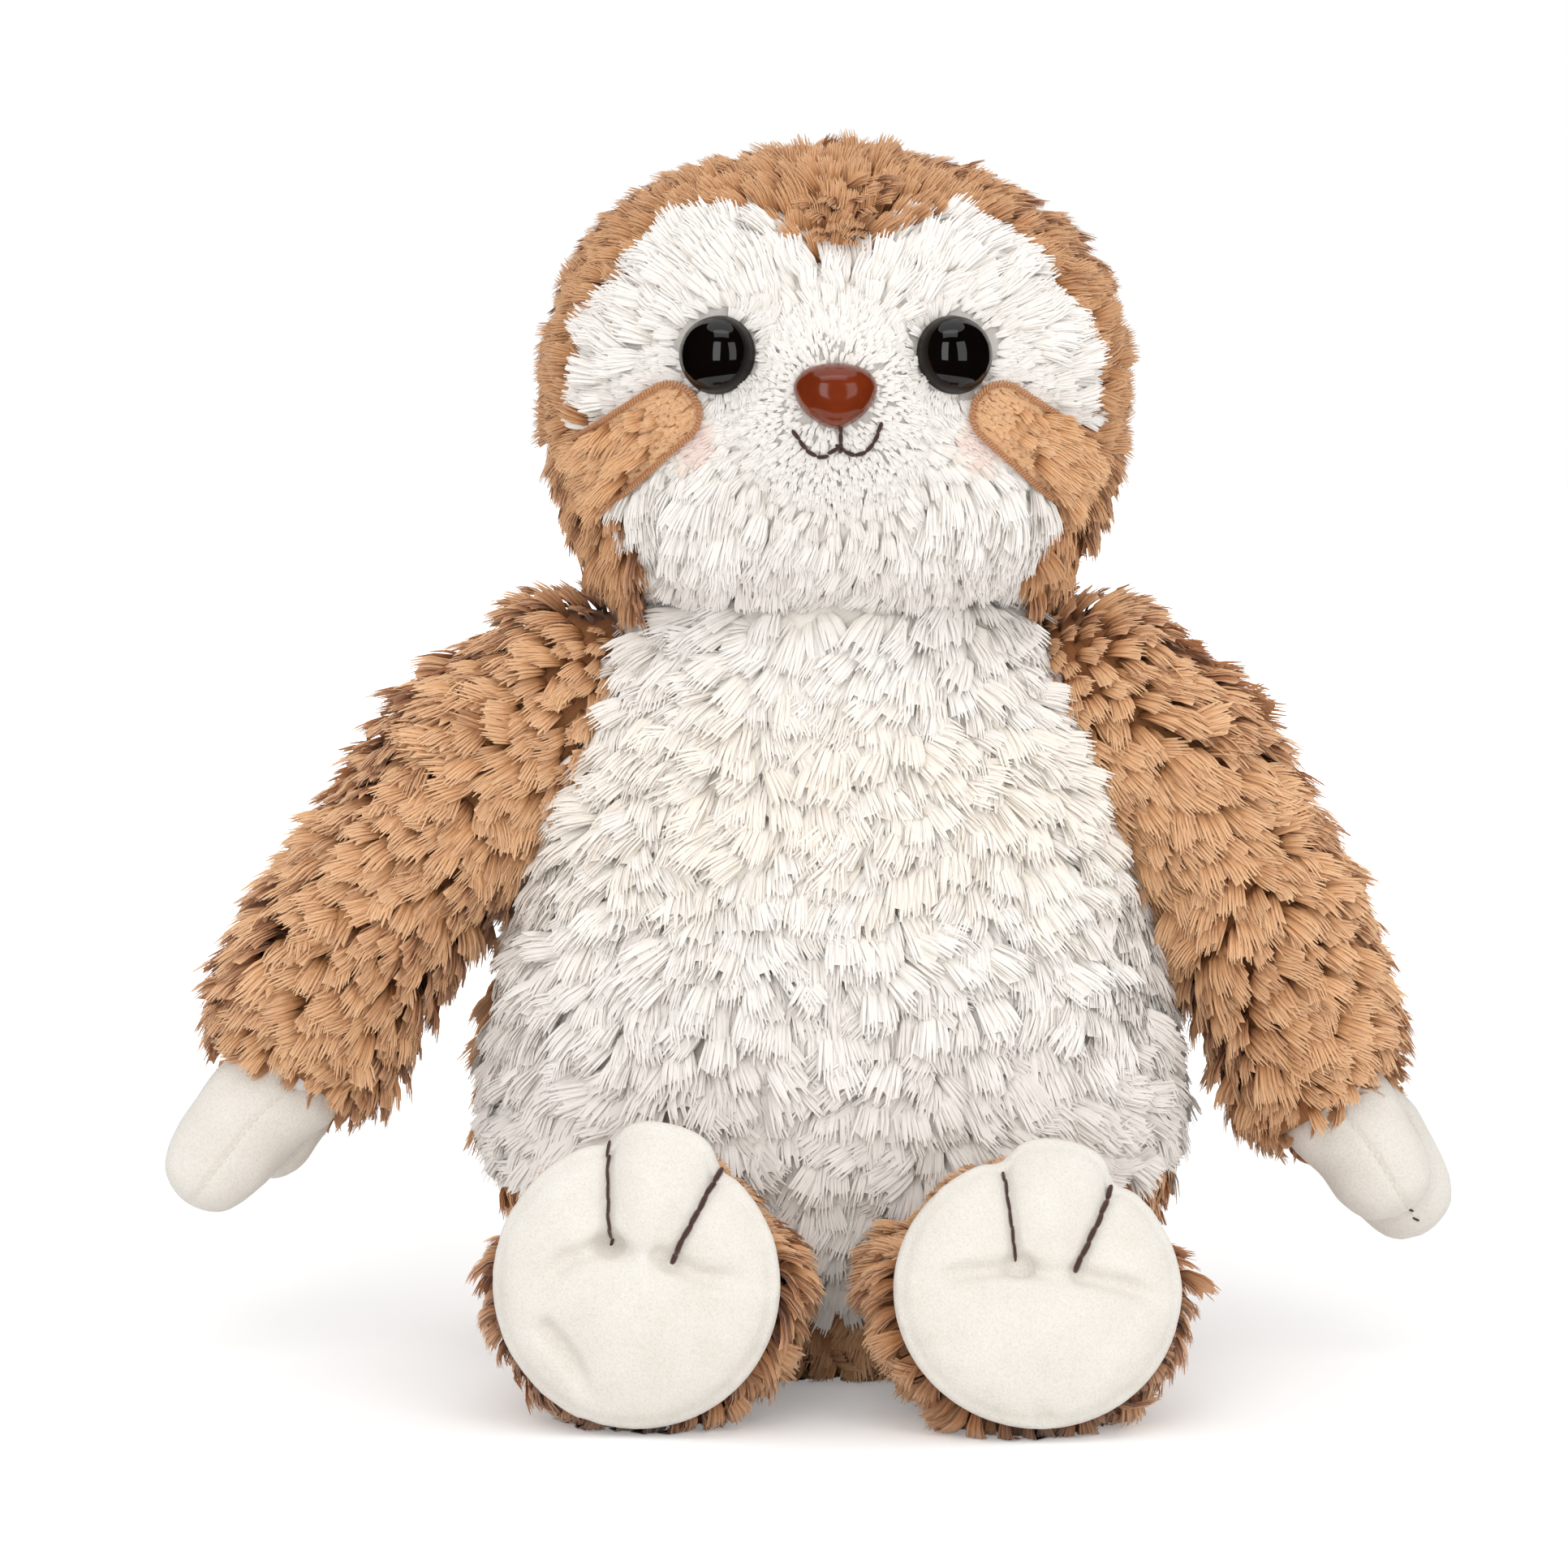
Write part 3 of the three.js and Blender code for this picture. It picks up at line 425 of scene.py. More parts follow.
tuftRng = np.random.default_rng(tuft["seed"])
tuftBoxes = {kind: bpy.data.collections.new(kind) for kind in ("tan", "white", "nap")}
for kind, box in tuftBoxes.items():
    scene.collection.children.link(box)
    for k in range(tuft["kinds"]):
        box.objects.link(tuftMesh(f"{kind}Tuft{k}", tuftRng, tuft[kind]))


def furNodes():
    tree, given = newTree(
        "plantFur", "Fur", Cloth="Geometry", Tufts="Collection", Spacing="Float", Breadth="Float",
        Scatter="Vector", Floor="Float", Softness="Float", Seed="Int", Finish="Material")
    density, length, tone, palette = [
        addNode(tree, "GeometryNodeInputNamedAttribute", {"Name": name}, data_type="FLOAT")
        for name in ("density", "furLength", "tone", "palette")]
    comb, tuftMap, lie = [
        addNode(tree, "GeometryNodeInputNamedAttribute", {"Name": name}, data_type="FLOAT_VECTOR")
        for name in ("comb", "OFBake", "lie")]
    uneven, ownTone = [
        addNode(tree, "FunctionNodeRandomValue", {"Min": low, "Max": high, "Seed": given["Seed"]},
                data_type="FLOAT")
        for low, high in (tuft["lengths"], tuft["tones"])]
    planted = addNode(tree, "GeometryNodeDistributePointsOnFaces", {
        "Mesh": given["Cloth"], "Distance Min": given["Spacing"], "Density Max": 2.5e6, "Seed": given["Seed"],
        "Density Factor": density}, distribute_method="POISSON")
    normal = planted.outputs["Normal"]
    stand = addNode(tree, "FunctionNodeAxesToRotation", {"Primary Axis": normal, "Secondary Axis": comb},
                    primary_axis="Z", secondary_axis="X")
    against = addNode(tree, "ShaderNodeVectorMath", {0: given["Scatter"], "Scale": -1.0}, operation="SCALE")
    tousle = addNode(tree, "FunctionNodeRandomValue", {
        "Min": against, "Max": given["Scatter"], "Seed": given["Seed"]}, data_type="FLOAT_VECTOR")
    turn = addNode(tree, "FunctionNodeEulerToRotation", {"Euler": tousle})
    stand = addNode(tree, "FunctionNodeRotateRotation", {"Rotation": stand, "Rotate By": turn},
                    rotation_space="LOCAL")
    long = addNode(tree, "ShaderNodeMath", {0: length, 1: uneven}, operation="MULTIPLY")
    broad = addNode(tree, "ShaderNodeMath", {0: long, 1: given["Breadth"]}, operation="MULTIPLY")
    size = addNode(tree, "ShaderNodeCombineXYZ", {"X": long, "Y": broad, "Z": long})
    kinds = addNode(tree, "GeometryNodeCollectionInfo", {
        "Collection": given["Tufts"], "Separate Children": True, "Reset Children": True})
    kind = addNode(tree, "FunctionNodeRandomValue", {
        "Min": 0, "Max": tuft["kinds"] - 1, "Seed": given["Seed"]}, data_type="INT")
    tufts = addNode(tree, "GeometryNodeInstanceOnPoints", {
        "Points": planted.outputs["Points"], "Instance": kinds, "Pick Instance": True, "Instance Index": kind,
        "Rotation": stand, "Scale": size})
    for name, value, kind in (("tone", ownTone, "FLOAT"), ("lie", normal, "FLOAT_VECTOR")):
        tufts = addNode(tree, "GeometryNodeStoreNamedAttribute", {
            "Geometry": tufts, "Name": name, "Value": value}, data_type=kind, domain="INSTANCE")
    fur = addNode(tree, "GeometryNodeRealizeInstances", {"Geometry": tufts})
    # each tuft's tone and its place on the palette move its map sideways
    strand = addNode(tree, "ShaderNodeSeparateXYZ", {"Vector": tuftMap})
    toned = addNode(tree, "ShaderNodeMath", {0: tone, 1: palette})
    toned = addNode(tree, "ShaderNodeMath", {0: toned, 1: strand.outputs["X"]})
    place = addNode(tree, "ShaderNodeCombineXYZ", {"X": toned, "Y": strand.outputs["Y"]})
    fur = addNode(tree, "GeometryNodeStoreNamedAttribute", {
        "Geometry": fur, "Name": "OFBake", "Value": place}, data_type="FLOAT2", domain="CORNER")
    # fur that would reach below the floor is pressed flat on it
    spot = addNode(tree, "GeometryNodeInputPosition")
    spot = addNode(tree, "ShaderNodeSeparateXYZ", {"Vector": spot}).outputs
    rested = addNode(tree, "ShaderNodeMath", {0: spot["Z"], 1: given["Floor"]}, operation="MAXIMUM")
    rested = addNode(tree, "ShaderNodeCombineXYZ", {"X": spot["X"], "Y": spot["Y"], "Z": rested})
    fur = addNode(tree, "GeometryNodeSetPosition", {"Geometry": fur, "Position": rested})
    # light goes through and between fine fibres, so a strand shades mostly as the whole coat does
    coat = addNode(tree, "ShaderNodeVectorMath", {0: lie, "Scale": given["Softness"]}, operation="SCALE")
    soft = addNode(tree, "ShaderNodeVectorMath", {0: addNode(tree, "GeometryNodeInputNormal"), 1: coat})
    soft = addNode(tree, "ShaderNodeVectorMath", {0: soft}, operation="NORMALIZE")
    fur = addNode(tree, "GeometryNodeSetMeshNormal", {"Mesh": fur, "Custom Normal": soft},
                  mode="FREE", domain="POINT")
    both = addNode(tree, "GeometryNodeJoinGeometry")
    tree.links.new(given["Cloth"], both.inputs[0])
    tree.links.new(fur.outputs[0], both.inputs[0])
    both = addNode(tree, "GeometryNodeSetShadeSmooth", {"Geometry": both})
    both = addNode(tree, "GeometryNodeSetMaterial", {"Geometry": both, "Material": given["Finish"]})
    addNode(tree, "NodeGroupOutput", {"Fur": both})
    return tree


furTree = furNodes()


def furPiece(name, points, faces, comb, fur, material, length=1, palette=0, density=1):
    # points and faces are the cloth; length, palette and density may differ from point to point
    kind = tuft[fur["tuft"]]
    normals = pointNormals(points, faces)
    used, index = np.unique(faces, return_inverse=True)
    index = index.reshape(-1, 4)
    points, normals, comb = points[used], normals[used], np.broadcast_to(comb, points.shape)[used]
    flat = unit(comb - normals * (comb * normals).sum(1, keepdims=True))
    swirl = np.radians(fur["swirl"]) * lumps(points, fur["swirlSize"], fur["seed"])[:, None]
    flat = flat * np.cos(swirl) + np.cross(normals, flat) * np.sin(swirl)
    obj = newPiece(name, points, index)
    perPoint = lambda v: np.broadcast_to(v, max(np.size(v), used.max() + 1))[used].astype(np.float32)
    for key, value in (("furLength", fur["length"] * mm * perPoint(length)), ("palette", perPoint(palette)),
                       ("density", perPoint(density))):
        obj.data.attributes.new(key, "FLOAT", "POINT").data.foreach_set("value", value)
    obj.data.attributes.new("comb", "FLOAT_VECTOR", "POINT").data.foreach_set(
        "vector", flat.astype(np.float32).ravel())
    # the cloth itself shows only between the roots, in the painted root shade a little way up the fur's map
    layer = obj.data.uv_layers.new(name="OFBake")
    tone = tuft["clothTone"] + perPoint(palette)[index.ravel()]
    height = np.full(len(tone), max(kind["root"], tuft["clothHeight"]))
    corner = np.tile([(0, 0), (0.012, 0), (0.012, 0.03), (0, 0.03)], (len(index), 1))
    layer.uv.foreach_set("vector", (np.stack([tone, height], 1) + corner).astype(np.float32).ravel())
    bakedMesh(obj, furTree, {
        "Tufts": tuftBoxes[fur["tuft"]], "Spacing": fur["spacing"] * mm, "Breadth": fur["breadth"],
        "Floor": tuft["floor"] * mm, "Softness": kind["soft"],
        "Scatter": [math.radians(a) for a in fur["scatter"]], "Seed": fur["seed"], "Finish": material,
    }, ("comb", "furLength", "palette", "density", "tone", "lie"))
    print(name, "has", sum(len(p.vertices) - 2 for p in obj.data.polygons), "triangles")
    return obj


def facesWhere(faces, inside):
    # each face goes by its first corner, so that neighbouring pieces share every seam
    return faces[inside[faces[:, 0]]]


# Camera: the photograph's long lens, a little above the middle of the toy
view = {"distance": 1400, "elevation": 6, "target": (-10.4, 0, 119.6), "lens": 153.4, "sensor": 36}
lens = bpy.data.cameras.new("camera")
lens.lens = view["lens"]
lens.sensor_width = view["sensor"]
lens.clip_end = 20
camera = bpy.data.objects.new("camera", lens)
tilt = math.radians(view["elevation"])
away = Vector((0, -math.cos(tilt), math.sin(tilt))) * view["distance"]
camera.location = (Vector(view["target"]) + away) * mm
camera.rotation_euler = (math.pi / 2 - tilt, 0, 0)
scene.collection.objects.link(camera)
scene.camera = camera

# the limbs' sizes, which the torso's fur and filling make room for
arm = {
    "root": 20, "swell": 20.5, "end": 18, "length": 106, "bow": 8, "forward": 4, "splay": {1: 32, -1: 38},
    "rows": 44, "columns": 52, "cloth": -3.4, "fill": -6, "tone": 0.14, "lumpHeight": 1.2, "lumpSize": 22,
    "hem": ((3.5, 3.0), (1.6, 0.8)), "hemRadius": 14, "cuffRise": 4.5, "cuffTrim": 0.42, "fuller": 2.4,
    "shoulderTrim": 0.25, "fullerPile": 0.25,
}
armJoints = {side: np.array([side * 50.0, 0, 140]) for side in (1, -1)}
leg = {
    "root": 24, "swell": 28.5, "end": 31, "length": 49, "bow": 0, "splay": 7.5, "rise": 3.5, "spread": 33,
    "forward": 42, "height": 27, "tilt": {1: 13, -1: 2}, "rows": 26, "columns": 64, "cloth": -3.4, "fill": -6,
    "flat": 0.06, "low": {1: 5.0, -1: 3.2}, "lowest": 0.6, "fillLowest": 0.9, "pileFrom": -34,
}


def armPlace(side):
    turn = Matrix.Rotation(math.radians(-side * arm["splay"][side]), 4, "Y") @ Matrix.Rotation(
        math.radians(-arm["forward"]), 4, "X")
    return Matrix.Translation(armJoints[side].tolist()) @ turn


# Torso: tan back and seat, white belly that ends in a point between the legs
torso = {
    "stations": [(45, 35, 0), (60, 45, 13), (70, 51, 54), (62, 44, 106), (51, 35, 140), (32, 32, 164)],
    "rows": 62, "columns": 110, "cloth": -3.4, "fill": -6, "lumpHeight": 1.2, "lumpSize": 24, "lowest": 0.6,
    "seam": -3, "whiteLift": 3.2, "pointHeight": 17, "pointSlope": 1.2, "sideHeight": 42,
    "lapTop": 78, "seatTop": 60, "pileTop": 159, "cream": 0.34, "creamHeight": 122, "creamReach": 30,
    "armHollow": 23, "legHollow": 26,
}
bellyFur = {
    "tuft": "white", "length": 11, "spacing": 3.0, "breadth": 1.35, "scatter": (18, 16, 34), "swirl": 75,
    "swirlSize": 24, "seed": 3,
}
backFur = {
    "tuft": "tan", "length": 11, "spacing": 3.2, "breadth": 1.0, "scatter": (16, 14, 22), "swirl": 40,
    "swirlSize": 30, "seed": 5,
}


def insideTorso(points, offset):
    curve = stationCurve(torso["stations"], 60)
    wide = np.interp(points[:, 2], curve[:, 2], curve[:, 0]) + offset
    deep = np.interp(points[:, 2], curve[:, 2], curve[:, 1]) + offset
    level = np.abs(points[:, 0] / wide) ** squareness + np.abs(points[:, 1] / deep) ** squareness
    return (level < 1) & (points[:, 2] < torso["stations"][-1][2])


def armDepth(points, side):
    # how far a point is outside the arm's form, less than 0 inside it
    x, y, z = moved(armPlace(side).inverted(), points).T
    radius, shift = limbSection(arm, np.clip(-z / arm["length"], 0, 1), side)
    return np.where(z > 0, np.sqrt(x**2 + y**2 + z**2), np.hypot(x - shift, y)) - radius


def buildTorso():
    grid = bodyGrid(torso["stations"], torso["rows"], torso["columns"], torso["cloth"], (0.8, 0))
    # the seat is bare cloth below
    seat = [grid[0] * [k, k, 1] for k in (0.02, 0.5, 0.9)]
    grid = np.concatenate([seat, grid])
    points = grid.reshape(-1, 3)
    faces = gridFaces(*grid.shape[:2])
    uneven = lumps(points, torso["lumpSize"], 1)[:, None]
    points = points + pointNormals(points, faces) * torso["lumpHeight"] * uneven
    points[:, 2] = np.maximum(points[:, 2], torso["lowest"])
    x, y, z = points.T
    edge = np.minimum(torso["pointHeight"] + torso["pointSlope"] * np.abs(x), torso["sideHeight"])
    white = (y < torso["seam"]) & (z > edge)
    points = points + pointNormals(points, faces) * (white * torso["whiteLift"])[:, None]
    # under the arms and the head the pile is thin
    near = np.min([armDepth(points, s) for s in (1, -1)], axis=0)
    covered = (near <= torso["cloth"] - 1) | (np.arange(len(x)) < len(seat) * torso["columns"])
    planted = ~covered & (z < torso["pileTop"])
    short = 0.5 + 0.5 * smoothStep(-3, 5, near) * smoothStep(172, 157, z)
    down = np.stack([x / 60, np.zeros_like(x), np.full_like(x, -1.0)], axis=1)
    cream = torso["cream"] * np.exp(-((z - torso["creamHeight"]) / torso["creamReach"]) ** 2)
    for name, inside, nodes in (("belly_fur", white & (z > torso["lapTop"]), ["belly_panel"]),
                                ("lap_fur", white & (z <= torso["lapTop"]), [])):
        obj = furPiece(name, points, facesWhere(faces, inside), down, bellyFur, whiteFur, short, cream,
                       planted)
        finishPiece(obj, "torso", "white_fur", *nodes)
    # the tan pile turns forward below the belly
    down[:, 0] *= 0.3
    down[:, 1] = -1.2 * smoothStep(-22, -38, y) * smoothStep(28, 12, z)
    for name, inside, nodes in (("back_fur", ~white & (z > torso["seatTop"]), ["back_panel"]),
                                ("seat_fur", ~white & (z <= torso["seatTop"]), [])):
        obj = furPiece(name, points, facesWhere(faces, inside), down, backFur, tanFur, short, 0, planted)
        finishPiece(obj, "torso", "tan_fur", *nodes)
    base, under = closedForm(bodyGrid(torso["stations"], 24, 48, torso["fill"], (0.7, 7)))
    # hollows for the roots of the arms and legs to turn in
    for side, joint in armJoints.items():
        away = base - joint
        base = joint + away * np.maximum(1, torso["armHollow"] / np.linalg.norm(away, axis=1))[:, None]
        across, up = base[:, 0] - side * leg["spread"], base[:, 2] - leg["height"]
        hollow = torso["legHollow"] ** 2 - across**2 - up**2
        behind = np.maximum(base[:, 1], np.sqrt(np.maximum(hollow, 0)) - leg["forward"])
        base[:, 1] = np.where(hollow > 0, behind, base[:, 1])
    fillPiece("torso_filling", base, under, "torso", "torso_stuffing")


buildTorso()
print("torso made")

# Head: tan, with a white mask whose top has two lobes, sheared short round the nose and mouth
head = {
    "base": 164,
    "stations": [(45, 34, 0), (54, 42, 12), (59, 46, 39), (54, 41, 63), (36, 27, 80), (10, 10, 87)],
    "rows": 58, "columns": 112, "cloth": -3.4, "fill": -6, "lumpHeight": 0.8, "lumpSize": 20,
    "forward": 6, "muzzleSwell": 5, "muzzleReach": 17, "noseHeight": 39.5, "muzzleLift": 2.7,
    "mask": [(38, -6), (40.5, 16), (49, 38), (43.5, 56), (24, 72), (10, 69), (0, 63)], "maskLift": 1.5,
    # the tan pile's tone is darker than the arms' and back's: painted shade for the less lit top of the head
    "tone": 0.71, "blush": (27, 31), "blushSize": (5, 6), "blushTone": 0.62, "frontFrom": -20,
    "muzzleDrop": 4, "shear": (24, 15), "furFrom": 17, "napTo": 20, "chin": (16, 2), "chinTrim": 0.35,
}
# the tan lock over the notch of the mask: how it widens upwards from its point, and where it starts and ends
forelock = {"slope": 0.45, "point": 61, "foot": 67, "top": 79, "lift": 2.4, "length": 0.8, "seed": 19}
headFur = {
    "tuft": "tan", "length": 9.5, "spacing": 2.8, "breadth": 0.9, "scatter": (16, 14, 22), "swirl": 40,
    "swirlSize": 22, "seed": 8,
}
maskFur = {
    "tuft": "white", "length": 10, "spacing": 2.5, "breadth": 1.25, "scatter": (14, 12, 20), "swirl": 35,
    "swirlSize": 20, "seed": 9,
}
muzzleNap = {
    "tuft": "nap", "length": 2.4, "spacing": 0.62, "breadth": 1.1, "scatter": (8, 8, 14), "swirl": 22,
    "swirlSize": 12, "seed": 10,
}
# the patches lie under the eyes: inset and height of the inner end, and what they clear in the white fur
patch = {
    "inset": 28.4, "height": 39.2, "slope": 38, "length": 30, "radius": 6, "flare": 1.3, "clear": 34,
    "cheekFrom": 27, "cheekTo": 46, "border": 25, "tone": 0.3, "sink": 0.6, "edge": 4.3, "furSink": 0.8,
    "napTo": 7,
}
eye = {
    "diameter": 16, "rim": 0.87, "dome": 7.5, "sink": 1.5, "spacing": 48, "height": 47.5, "shank": 4,
    "shankLength": 13, "furFrom": 7.6, "napFrom": 7.7, "napTo": 11.5,
}
nose = {"width": 17, "depth": 13.2, "dome": 6.5, "height": 39.5, "bare": (7.5, 5.5), "napFrom": 1.06}


def headGrid(rows, columns, offset, ends=(0, 0)):
    grid = bodyGrid(head["stations"], rows, columns, offset, ends)
    x, y, z = grid[..., 0], grid[..., 1], grid[..., 2]
    swell = head["muzzleSwell"] * np.exp(-(x**2 + (z - head["noseHeight"]) ** 2) / head["muzzleReach"] ** 2)
    grid[..., 1] = y - head["forward"] - np.where(y < 0, swell, 0)
    grid[..., 2] = z + head["base"]
    return grid


facePoints, faceFaces = closedForm(headGrid(64, 128, 0))
faceTree = BVHTree.FromPolygons(facePoints.tolist(), faceFaces)


def faceFrame(x, z):
    # on the face, with Z pointing out of it and Y up
    spot, normal, _, _ = faceTree.ray_cast(Vector((x, -300, z + head["base"])), Vector((0, 1, 0)))
    right = Vector((0, 0, 1)).cross(normal).normalized()
    up = normal.cross(right)
    turn = Matrix((right, up, normal)).transposed().to_4x4()
    return Matrix.Translation(spot) @ turn


def insideOutline(x, z, outline):
    inside = np.zeros(len(x), bool)
    for (x1, z1), (x2, z2) in zip(outline, np.roll(outline, -1, axis=0)):
        cross = (z1 > z) != (z2 > z)
        with np.errstate(divide="ignore", invalid="ignore"):
            inside ^= cross & (x < (x2 - x1) * (z - z1) / (z2 - z1) + x1)
    return inside


def patchSpot(side, along, aside):
    slope = math.radians(patch["slope"])
    x = patch["inset"] + along * math.cos(slope) + aside * math.sin(slope)
    return side * x, patch["height"] - along * math.sin(slope) + aside * math.cos(slope)


def patchPath(side, count, along):
    # from the far end of the upper edge, round the end by the eye and back along the lower edge
    radius, wide = patch["radius"], patch["radius"] * patch["flare"]
    half = lambda t: radius + (wide - radius) * (t - radius) / (patch["length"] - radius)
    out = [(t, half(t)) for t in np.linspace(along, radius, count)]
    for angle in np.radians(np.linspace(90, 270, count)[1:-1]):
        out.append((radius + radius * math.cos(angle), radius * math.sin(angle)))
    out += [(t, -half(t)) for t in np.linspace(radius, along, count)]
    return np.array([patchSpot(side, *p) for p in out])


def buildHead():
    grid = headGrid(head["rows"], head["columns"], head["cloth"], (0, 3))
    middle = np.array([0, -head["forward"], 0])
    lip = [(grid[0] - middle) * [k, k, 1] + middle + [0, 0, drop] for k, drop in ((0.72, -1.6), (0.9, -1.2))]
    middle = grid[-1].mean(0)
    crown = [(grid[-1] - middle) * k + middle + [0, 0, rise] for k, rise in ((0.55, 0.7), (0.05, 1.0))]
    grid = np.concatenate([lip, grid, crown])
    points = grid.reshape(-1, 3)
    faces = gridFaces(*grid.shape[:2])
    x, y, z = points.T
    z = z - head["base"]
    front, flank = y < head["frontFrom"], y < -head["forward"]
    fromNose = np.hypot(x, z - (head["noseHeight"] - head["muzzleDrop"]))
    sheared = smoothStep(*head["shear"], fromNose) * front
    chin = smoothStep(*head["chin"], z)
    normals = pointNormals(points, faces)
    outline = np.array(head["mask"] + [(-px, pz) for px, pz in head["mask"][-2::-1]])
    white = insideOutline(x, z, flatCurve(outline, 120)) & flank
    inPatch = np.zeros(len(x), bool)
    for side in (1, -1):
        inPatch |= insideOutline(x, z, patchPath(side, 12, patch["clear"])) & flank
        # beyond the end of the patch the cheek is tan
        far = insideOutline(x, z, patchPath(side, 12, patch["cheekTo"]))
        white &= ~far | insideOutline(x, z, patchPath(side, 12, patch["cheekFrom"]))
    lift = np.maximum(sheared * head["muzzleLift"], head["maskLift"] * white) * ~inPatch
    lift = lift + lumps(points, head["lumpSize"], 2) * head["lumpHeight"] * (1 - sheared)
    points = points + normals * lift[:, None]
    # the pile lies away from the nose, and down at the back and chin
    outward = unit(np.stack([x, 0.25 * (y + 40), z - head["noseHeight"]], axis=1))
    behind = smoothStep(5, 35, y)[:, None]
    outward = outward * (1 - behind) + np.array([0, 0, -1.0]) * behind
    lower = smoothStep(34, 8, z)[:, None] * (y < 10)[:, None]
    outward = outward + lower * np.array([0, 0, -1.8])
    # it parts round the eyes
    eyes = np.full(len(x), 99.0)
    for s in (1, -1):
        aside = np.stack([x - s * eye["spacing"] / 2, 0 * x, z - eye["height"]], axis=1)
        off = np.hypot(aside[:, 0], aside[:, 2])
        eyes = np.where(front, np.minimum(eyes, off), eyes)
        near = smoothStep(15, 9, np.linalg.norm(aside, axis=1))[:, None] * front[:, None]
        near = near * smoothStep(0.5, -0.1, (outward * unit(aside)).sum(1))[:, None]
        outward = outward * (1 - near) + unit(aside) * near
    long = np.clip(0.35 + 0.65 * smoothStep(14, 32, fromNose), 0, 1) * (0.5 + 0.5 * smoothStep(7, 15, eyes))
    # short beside the inner ends of the cheek patches, so that their borders show, and under the chin
    inner = [patchSpot(s, patch["radius"], -1) for s in (1, -1)]
    ends = np.min([np.hypot(x - px, z - pz) for px, pz in inner], axis=0)
    long *= 0.3 + 0.7 * smoothStep(patch["radius"] + 1, patch["radius"] + 10, ends)
    long *= 1 - head["chinTrim"] * chin
    (bx, bz), (wide, tall) = head["blush"], head["blushSize"]
    blush = np.max([np.exp(-(((x - s * bx) / wide) ** 2 + ((z - bz) / tall) ** 2)) for s in (1, -1)], axis=0)
    rosy = lambda plain: np.where(blush > 0.35, head["blushTone"], plain)
    obj = furPiece("face_fur", points, facesWhere(faces, white), outward, maskFur, whiteFur, long, rosy(0.0),
                   (eyes > eye["furFrom"]) & ~inPatch & (fromNose > head["furFrom"]))
    finishPiece(obj, "head", "white_fur", "face_panel")
    near = (fromNose < head["napTo"]) | (eyes < eye["napTo"]) | (ends < patch["radius"] + patch["napTo"])
    muzzle = white & near
    button = np.hypot(x / nose["bare"][0], (z - head["noseHeight"]) / nose["bare"][1])
    obj = furPiece("muzzle_pile", points, facesWhere(faces, muzzle), outward, muzzleNap, whiteFur,
                   0.85 + 0.5 * smoothStep(12, 20, fromNose), rosy(0.04),
                   (button > nose["napFrom"]) & (eyes > eye["napFrom"]) & ~inPatch)
    finishPiece(obj, "head", "white_fur")
    # the tan pile takes the head's darker tone, painted shade for the dimmer top of the head laid over all of
    # it
    for name, inside, nodes in (("head_fur", ~white & (y < 2), ["head_back_panel"]),
                                ("nape_fur", ~white & (y >= 2), [])):
        obj = furPiece(name, points, facesWhere(faces, inside), outward, headFur, tanFur,
                       1 + head["chinTrim"] * chin, head["tone"])
        finishPiece(obj, "head", "tan_fur", *nodes)
    # the forelock parts at its top and falls over the notch of the mask, in the head's darker painted-shade
    # tone
    notch = np.abs(x) < forelock["slope"] * (z - forelock["point"])
    notch &= (z > forelock["foot"]) & (z < forelock["top"]) & (y < 0)
    part = smoothStep(70, 80, z)
    fall = np.stack([0.15 * x * part, 0 * x, 1.3 * part - 1], axis=1)
    obj = furPiece("forelock_fur", points + normals * forelock["lift"], facesWhere(faces, notch), fall,
                   dict(headFur, seed=forelock["seed"]), tanFur, forelock["length"], head["tone"])
    finishPiece(obj, "head", "tan_fur")
    base, under = closedForm(headGrid(24, 48, head["fill"], (3, 5)))
    fillPiece("head_filling", base, under, "head", "head_stuffing")


buildHead()
print("head made")


# Eyes and nose: moulded buttons on shanks
def turnedGrid(profile, columns):
    return np.array([circle(radius, height, columns) for radius, height in profile])


def buildEyes():
    radius, shank = eye["diameter"] / 2, eye["shank"] / 2
    seat = -eye["sink"]
    foot = seat - eye["shankLength"]
    profile = [(shank * 0.7, foot), (shank, foot + 0.8), (shank, seat - 0.3), (radius - 0.7, seat),
               (radius - 0.15, seat + 0.2), (radius, seat + 0.6), (radius - 0.1, seat + 1.1)]
    for angle in np.radians(np.linspace(4, 88, 26)):
        height = seat + 1.2 + (eye["dome"] - 1.2) * math.sin(angle)
        profile.append(((radius - 0.25) * math.cos(angle), height))
    for side, name in sides:
        place = faceFrame(side * eye["spacing"] / 2, eye["height"])
        points, faces = closedForm(turnedGrid(profile, 56))
        obj = newPiece(f"{name}_eye_button", moved(place, points), faces, blackPlastic)
        obj.data.materials.append(rimPlastic)
        for face, corners in zip(obj.data.polygons, faces):
            out = np.linalg.norm(points[corners][:, :2], axis=1).mean()
            face.material_index = int(out > eye["rim"] * radius)
        finishPiece(obj, "head", "black_plastic", f"{name}_eye")


def buildNose():
    # a rounded triangle with its point down
    half = [(0, 1), (0.36, 0.96), (0.72, 0.8), (0.96, 0.44), (0.98, 0.1), (0.78, -0.42), (0.46, -0.78),
            (0.16, -0.97)]
    ring = [(0, -1, 0)] + [(x, y, 0) for x, y in half[::-1]] + [(-x, y, 0) for x, y in half[1:]]
    ring = stationCurve(ring[-2:] + ring + ring[:3], 81)[8:72]
    outline = ring * [nose["width"] / 2, nose["depth"] / 2, 0]
    seat = -eye["sink"]
    grid = [outline * k + [0, 0, seat - drop] for k, drop in (
        (0.28, eye["shankLength"]), (0.28, 0.2), (0.95, 0.1))]
    for rise in np.radians(np.linspace(0, 86, 22)):
        grid.append(outline * math.cos(rise) ** 0.8 + [0, 0, seat + nose["dome"] * math.sin(rise)])
    points, faces = closedForm(np.array(grid))
    obj = newPiece("nose_button", moved(faceFrame(0, nose["height"]), points), faces, brownPlastic)
    finishPiece(obj, "head", "brown_plastic", "nose")


